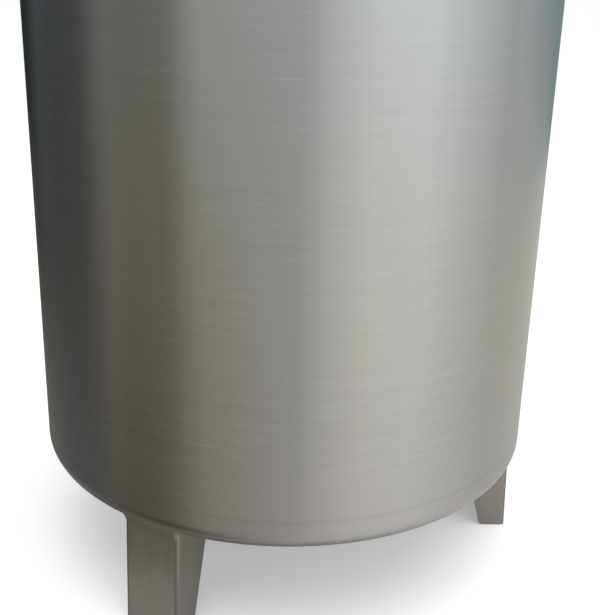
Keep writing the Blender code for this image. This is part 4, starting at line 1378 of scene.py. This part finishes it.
def set_out(name, mesh, places):
    """A piece from copies of a mesh at a list of matrices."""
    points = bpy.data.meshes.new("places")
    points.from_pydata([place.to_translation() for place in places], [], [])
    attribute = points.attributes.new("turn", "FLOAT_VECTOR", "POINT")
    for i, place in enumerate(places):
        attribute.data[i].vector = place.to_euler()
    copy = linked(bpy.data.objects.new("copy", mesh))
    made = run_tree(setting, points, {"Copy": copy, "Material": plate_steel})
    bpy.data.objects.remove(copy)
    piece(name, tidied(made))


set_out("clamp_closings", closing, list(clamp_places.values()))

# %% The valve's bolts
BOLT_CIRCLE = 0.0318
BOLT_HEAD = 0.0036
BOLT_WIDTH = 0.008

head = plate([round_outline((0, 0), BOLT_WIDTH / math.sqrt(3), 6)], 0, BOLT_HEAD, ease=0.0005)
places = []
for side, face in ((-1, SEAT_OUT + SHOULDER), (1, VALVE_END - SHOULDER)):
    for x, z in arc((0, OUTLET_HEIGHT), BOLT_CIRCLE, 45, 315, 3):
        places.append(shifted(x, face, z) @ Matrix.Rotation(-side * math.pi / 2, 4, "X"))
places.append(shifted(0, VALVE_MIDDLE, LEVER_HIGH))
set_out("valve_bolt_heads", head, places)

# %% [markdown]
# ## Welds that show
# Where a weld isn't ground, it is a row of ripples, one for each drop of filler that the welder added. The
# path of the weld is a line of points. The tree walks it in even steps and puts a flattened ball at each,
# turned along the path and slightly uneven in size, so that the row doesn't look printed. The seed is
# fixed, so every run makes the same weld. A real ripple is about a millimetre long: they are drawn at 2.5
# mm, which still reads.

# %% The tree for a weld
SMALLEST = 0.9
LARGEST = 1.08
OVERLAP = 1.7

welding, inputs, close = geometry_tree(
    "rippled_weld", (("Ripple", "Float"), ("Width", "Float"), ("Seed", "Int"), ("Material", "Material"))
)
path = output(welding, "GeometryNodeMeshToCurve", {"Mesh": inputs["Geometry"]})
sockets = {"Curve": path, "Length": inputs["Ripple"]}
steps = output(welding, "GeometryNodeResampleCurve", sockets, mode="LENGTH")
ball = output(welding, "GeometryNodeMeshIcoSphere", {"Radius": 1.0, "Subdivisions": 2})
along = output(welding, "GeometryNodeInputTangent")
along = output(welding, "FunctionNodeAlignRotationToVector", {"Vector": along}, axis="X")
sockets = {"Min": SMALLEST, "Max": LARGEST, "Seed": inputs["Seed"]}
uneven = output(welding, "FunctionNodeRandomValue", sockets, "Value", data_type="FLOAT")
length = compute(welding, "MULTIPLY", inputs["Ripple"], OVERLAP)
thick = compute(welding, "MULTIPLY", inputs["Width"], 0.5)
size = output(welding, "ShaderNodeCombineXYZ", {"X": length, "Y": thick, "Z": thick})
sockets = {"Points": steps, "Instance": ball, "Rotation": along, "Scale": scaled(welding, size, uneven)}
close(output(welding, "GeometryNodeInstanceOnPoints", sockets))

# %% Lay the welds
RIPPLE = 0.0025
BELOW_FLANGE = 0.0004


def weld(name, paths, width, seed):
    """Rippled weld along one or more paths. A path whose ends meet is closed."""
    mesh = bpy.data.meshes.new("path")
    points, edges = [], []
    for path in paths:
        first = len(points)
        points += [tuple(point) for point in path]
        edges += [(i, i + 1) for i in range(first, len(points) - 1)]
    mesh.from_pydata(points, edges, [])
    made = run_tree(welding, mesh, {"Ripple": RIPPLE, "Width": width, "Seed": seed, "Material": weld_metal})
    made.shade_smooth()
    piece(name, made)


def circle(centre, radius, height_at, off, steps=72):
    """Closed path round a point, a little off the surface there. Its height follows another surface."""
    return [(x, y, height_at(math.hypot(x, y))) for x, y in arc(centre, radius + off, 0, 360, steps)]


def on_dome(radius):
    """Height of the lid's dome."""
    return LID_TOP - DOME_SPHERE + math.sqrt(DOME_SPHERE**2 - radius**2)


def under_flange(radius):
    """Height of the weld below the manway's flange, the same all round."""
    return FLANGE_LOW - BELOW_FLANGE


round_neck = circle((0, 0), NECK, roof, off=0.0008, steps=MANWAY_STEPS)
weld("manway_neck_weld", [round_neck], width=0.005, seed=1)
round_neck = circle((0, 0), NECK, under_flange, off=0.0004, steps=MANWAY_STEPS)
weld("manway_flange_weld", [round_neck], width=0.003, seed=2)
feet = [(side * HANDLE_HALF, HANDLE_PLACE) for side in (-1, 1)]
feet = [circle(foot, HANDLE_ROD, on_dome, off=0.0004, steps=32) for foot in feet]
weld("lid_handle_welds", feet, width=0.003, seed=3)

# %% Lay the welds of what stands on the tank
BRACKET_OFF = 0.0004
LUG_OFF = 0.0006
WELD_OFF = 0.0005


def bracket_path(half, low, turn):
    """Down one side of a bracket on the neck, under it and up the other."""
    half, low, high = half + BRACKET_OFF, low - BRACKET_OFF, SHELF - 0.002
    corners = [(-half, high), (-half, low), (half, low), (half, high)]
    return [turn @ Vector((x, math.sqrt(NECK**2 - x * x) + WELD_OFF, z)) for x, z in corners]


brackets = [
    bracket_path(HINGE_HALF, HINGE_FOOT, Matrix.Identity(4)),
    bracket_path(LATCH_HALF, LATCH_FOOT, HALF_TURN),
]
weld("bracket_welds", brackets, width=0.0034, seed=4)

out, side = LIFTING_HALF + LUG_OFF, LIFTING_THICKNESS / 2 + LUG_OFF
corners = [(out, side), (-out, side), (-out, -side), (out, -side), (out, side)]
around_lug = [(x, y, roof(math.hypot(x, y))) for x, y in [(LIFTING_CIRCLE + x, y) for x, y in corners]]
lug_paths = [[about_z(degrees) @ Vector(point) for point in around_lug] for degrees in LIFTING_TURNS]
weld("lifting_lug_welds", lug_paths, width=0.006, seed=5)

nozzle_spots = [place.to_translation()[:2] for place in nozzle_places.values()]
nozzle_paths = [circle(spot, TUBE, roof, off=WELD_OFF) for spot in nozzle_spots]
weld("nozzle_welds", nozzle_paths, width=0.004, seed=6)
weld("drain_weld", [circle((0, 0), TUBE, belly, off=WELD_OFF)], width=0.004, seed=7)

inside_line = [leg_top(spot) for spot in leg_line(LEG_SHEET + WELD_OFF)]
leg_paths = [[about_z(degrees) @ point for point in inside_line] for degrees in LEG_TURNS.values()]
weld("leg_inside_welds", leg_paths, width=0.005, seed=8)

# %% [markdown]
# ## The floor
# The tank stands on a plain pale floor, a very wide disc. In the picture it is as white as paper, but a
# floor as bright as that would light up the lower half of the shell, which shows a darker one. So
# reflections don't see this disc: the floor that the shell shows is painted on the surroundings below. Only
# right under the tank lies a second, small disc for reflections alone, with painted shade on the left and
# painted light on the right, which shades the lower ends of the legs.

# %% Lay the floor
FLOOR_STEPS = 128


def disc(name, left, right, radius, height, glow=0.0):
    """Round floor whose colour goes from one at -X to another at +X."""
    paint, tree, shader, place = new_material(f"{name}_paint", left)
    x = output(tree, "ShaderNodeSeparateXYZ", {"Vector": place})
    sockets = {
        "Base Color": mixed(tree, remap(tree, x, -radius, radius), linear(left), linear(right)),
        "Roughness": 0.9,
        "Specular IOR Level": 0.0,
        "Emission Color": linear("#FFFFFF"),
        "Emission Strength": glow,
    }
    plug(tree, shader, sockets)
    edge = round_outline((0, 0), radius, FLOOR_STEPS)
    mesh = bpy.data.meshes.new(name)
    mesh.from_pydata([(x, y, height) for x, y in edge], [], [range(FLOOR_STEPS)])
    mesh.materials.append(paint)
    obj = linked(bpy.data.objects.new(name, mesh))
    obj.visible_shadow = False
    print(name, "has a radius of", radius, "m")
    return obj


floor = disc("floor", "#EFEFEF", "#EFEFEF", radius=40.0, height=0.0, glow=0.30)
floor.visible_glossy = False
# painted shade on the left and painted light on the right of the floor under the tank, seen only in
# reflections
under_tank = disc("floor_for_reflections", "#645F58", "#D6D6D3", radius=0.56, height=0.0002)
under_tank.visible_camera = False
under_tank.visible_diffuse = False

# %% [markdown]
# ## The room that the steel reflects
# Brushed steel has hardly a look of its own: it shows the room as soft upright bands. So the world is a
# small sketch of a room, as light against direction at four heights, from eye level down to the floor at
# the feet. Bright walls on the right give the broad pale band, dark ones on the left the brown bands.
# Behind the tank the walls are darker and bluish and end in a sharp foot, which is the dark upper part of
# both edges of the shell. High up all of it fades into a white ceiling. Only reflections and light see this
# room. The picture's own background stays white.

# %% Paint the room
# direction in degrees from the camera's side towards +X, light at each of the four heights, brownness
ROOM = (
    (-180, 0.20, 0.23, 0.25, 0.30, 0.4),
    (-164, 0.06, 0.085, 0.26, 0.32, 0.4),
    (-145, 0.05, 0.055, 0.19, 0.27, 0.3),
    (-131, 0.14, 0.067, 0.15, 0.21, -0.1),
    (-115, 0.09, 0.067, 0.11, 0.17, 0.0),
    (-96, 0.08, 0.08, 0.09, 0.10, 0.2),
    (-87, 0.18, 0.145, 0.10, 0.08, 0.6),
    (-80, 0.22, 0.195, 0.10, 0.08, 0.8),
    (-72, 0.20, 0.165, 0.09, 0.06, 0.9),
    (-52, 0.22, 0.165, 0.145, 0.11, 1.0),
    (-38, 0.50, 0.30, 0.27, 0.23, 0.6),
    (5, 0.52, 0.45, 0.39, 0.44, 0.2),
    (17, 0.76, 0.64, 0.54, 0.52, 0.2),
    (35, 0.99, 0.825, 0.68, 0.62, 0.2),
    (58, 1.04, 0.88, 0.72, 0.68, 0.1),
    (100, 0.54, 0.59, 0.55, 0.62, 0.1),
    (165, 0.52, 0.60, 0.53, 0.48, 0.2),
    (180, 0.20, 0.23, 0.25, 0.30, 0.4),
)
# the heights in degrees, from eye level to the near floor
HEIGHTS = (-2, -17, -30, -40)
BROWN = (1.10, 0.98, 0.70)
# how much of the brown shows at each height
TINTED = (0.5, 0.75, 1.0, 1.0)
WALL_START = 104
WALL_FULL = 150
WALL_FOOT = -12.5
WALL_SHADE = (0.42, 0.52, 0.50)
# degrees upwards, and the tint of the light from there
TINTS = (
    (-30, (1.01, 1.00, 1.05)),
    (-24, (1.00, 1.00, 0.95)),
    (-18, (0.98, 1.00, 0.90)),
    (-12, (0.97, 1.00, 1.04)),
    (-5, (0.90, 1.00, 1.10)),
)
WHITE = (1, 1, 1, 1)
CEILING = (0.95, 0.97, 1.0, 1)
CEILING_START = 5
CEILING_FULL = 55

world = bpy.data.worlds.new("room")
bpy.context.scene.world = world
world.use_nodes = True
tree = world.node_tree
direction = output(tree, "ShaderNodeTexCoord", which="Generated")
axes = add(tree, "ShaderNodeSeparateXYZ", {"Vector": direction}).outputs
towards_camera = compute(tree, "MULTIPLY", axes["Y"], -1.0)
round_about = remap(tree, compute(tree, "ARCTAN2", axes["X"], towards_camera), -math.pi, math.pi)
upwards = compute(tree, "DEGREES", compute(tree, "ARCSINE", axes["Z"]))


def ramp(position, stops):
    """Colour against a position from 0 to 1, from a list of (position, colour)."""
    node = add(tree, "ShaderNodeValToRGB", {"Fac": position})
    elements = node.color_ramp.elements
    elements.remove(elements[1])
    for i, (place, colour) in enumerate(stops):
        stop = elements[0] if i == 0 else elements.new(place)
        stop.position = place
        stop.color = (*colour, 1)
    return node.outputs["Color"]


levels = []
for level, tinted in enumerate(TINTED, 1):
    stops = []
    for row in ROOM:
        tint = [1 + tinted * row[-1] * (share - 1) for share in BROWN]
        stops.append(((row[0] + 180) / 360, [row[level] * share for share in tint]))
    levels.append(ramp(round_about, stops))
room = levels[0]
for level, high, low in zip(levels[1:], HEIGHTS, HEIGHTS[1:]):
    room = mixed(tree, remap(tree, upwards, low, high), level, room)
tints = [((degrees + 90) / 180, colour) for degrees, colour in TINTS]
room = mixed(tree, 1.0, room, ramp(remap(tree, upwards, -90, 90), tints), "MULTIPLY")
aside = compute(tree, "ABSOLUTE", compute(tree, "SUBTRACT", round_about, 0.5))
behind = remap(tree, aside, WALL_START / 360, WALL_FULL / 360)
behind = compute(tree, "MULTIPLY", behind, remap(tree, upwards, WALL_FOOT, WALL_FOOT + 2))
room = mixed(tree, 1.0, room, mixed(tree, behind, WHITE, (*WALL_SHADE, 1)), "MULTIPLY")
room = mixed(tree, remap(tree, upwards, CEILING_START, CEILING_FULL, easing="SMOOTHSTEP"), room, CEILING)
seen_by_camera = output(tree, "ShaderNodeLightPath", which="Is Camera Ray")
plug(tree, tree.nodes["Background"], {"Color": mixed(tree, seen_by_camera, room, WHITE)})
print("the room has", len(ROOM), "directions")

# %% [markdown]
# ## One soft lamp
# A wide round lamp hangs above and a little in front. It gives the lid, the roof and the fittings their
# broad highlight and puts a soft shadow under the tank, which ties it to the floor.

# %% Hang the lamp and finish
LAMP_PLACE = Vector((0.5, -0.6, 4.2))
LAMP_AIM = Vector((0, 0, 0.8))
LAMP_SIZE = 6.0
LAMP_POWER = 130

lamp = linked(bpy.data.objects.new("overhead_lamp", bpy.data.lights.new("overhead_lamp", "AREA")))
lamp.data.shape = "DISK"
lamp.data.size = LAMP_SIZE
lamp.data.energy = LAMP_POWER
lamp.location = LAMP_PLACE
lamp.rotation_euler = (LAMP_AIM - LAMP_PLACE).to_track_quat("-Z", "Y").to_euler()
bpy.context.scene.view_settings.view_transform = "Standard"
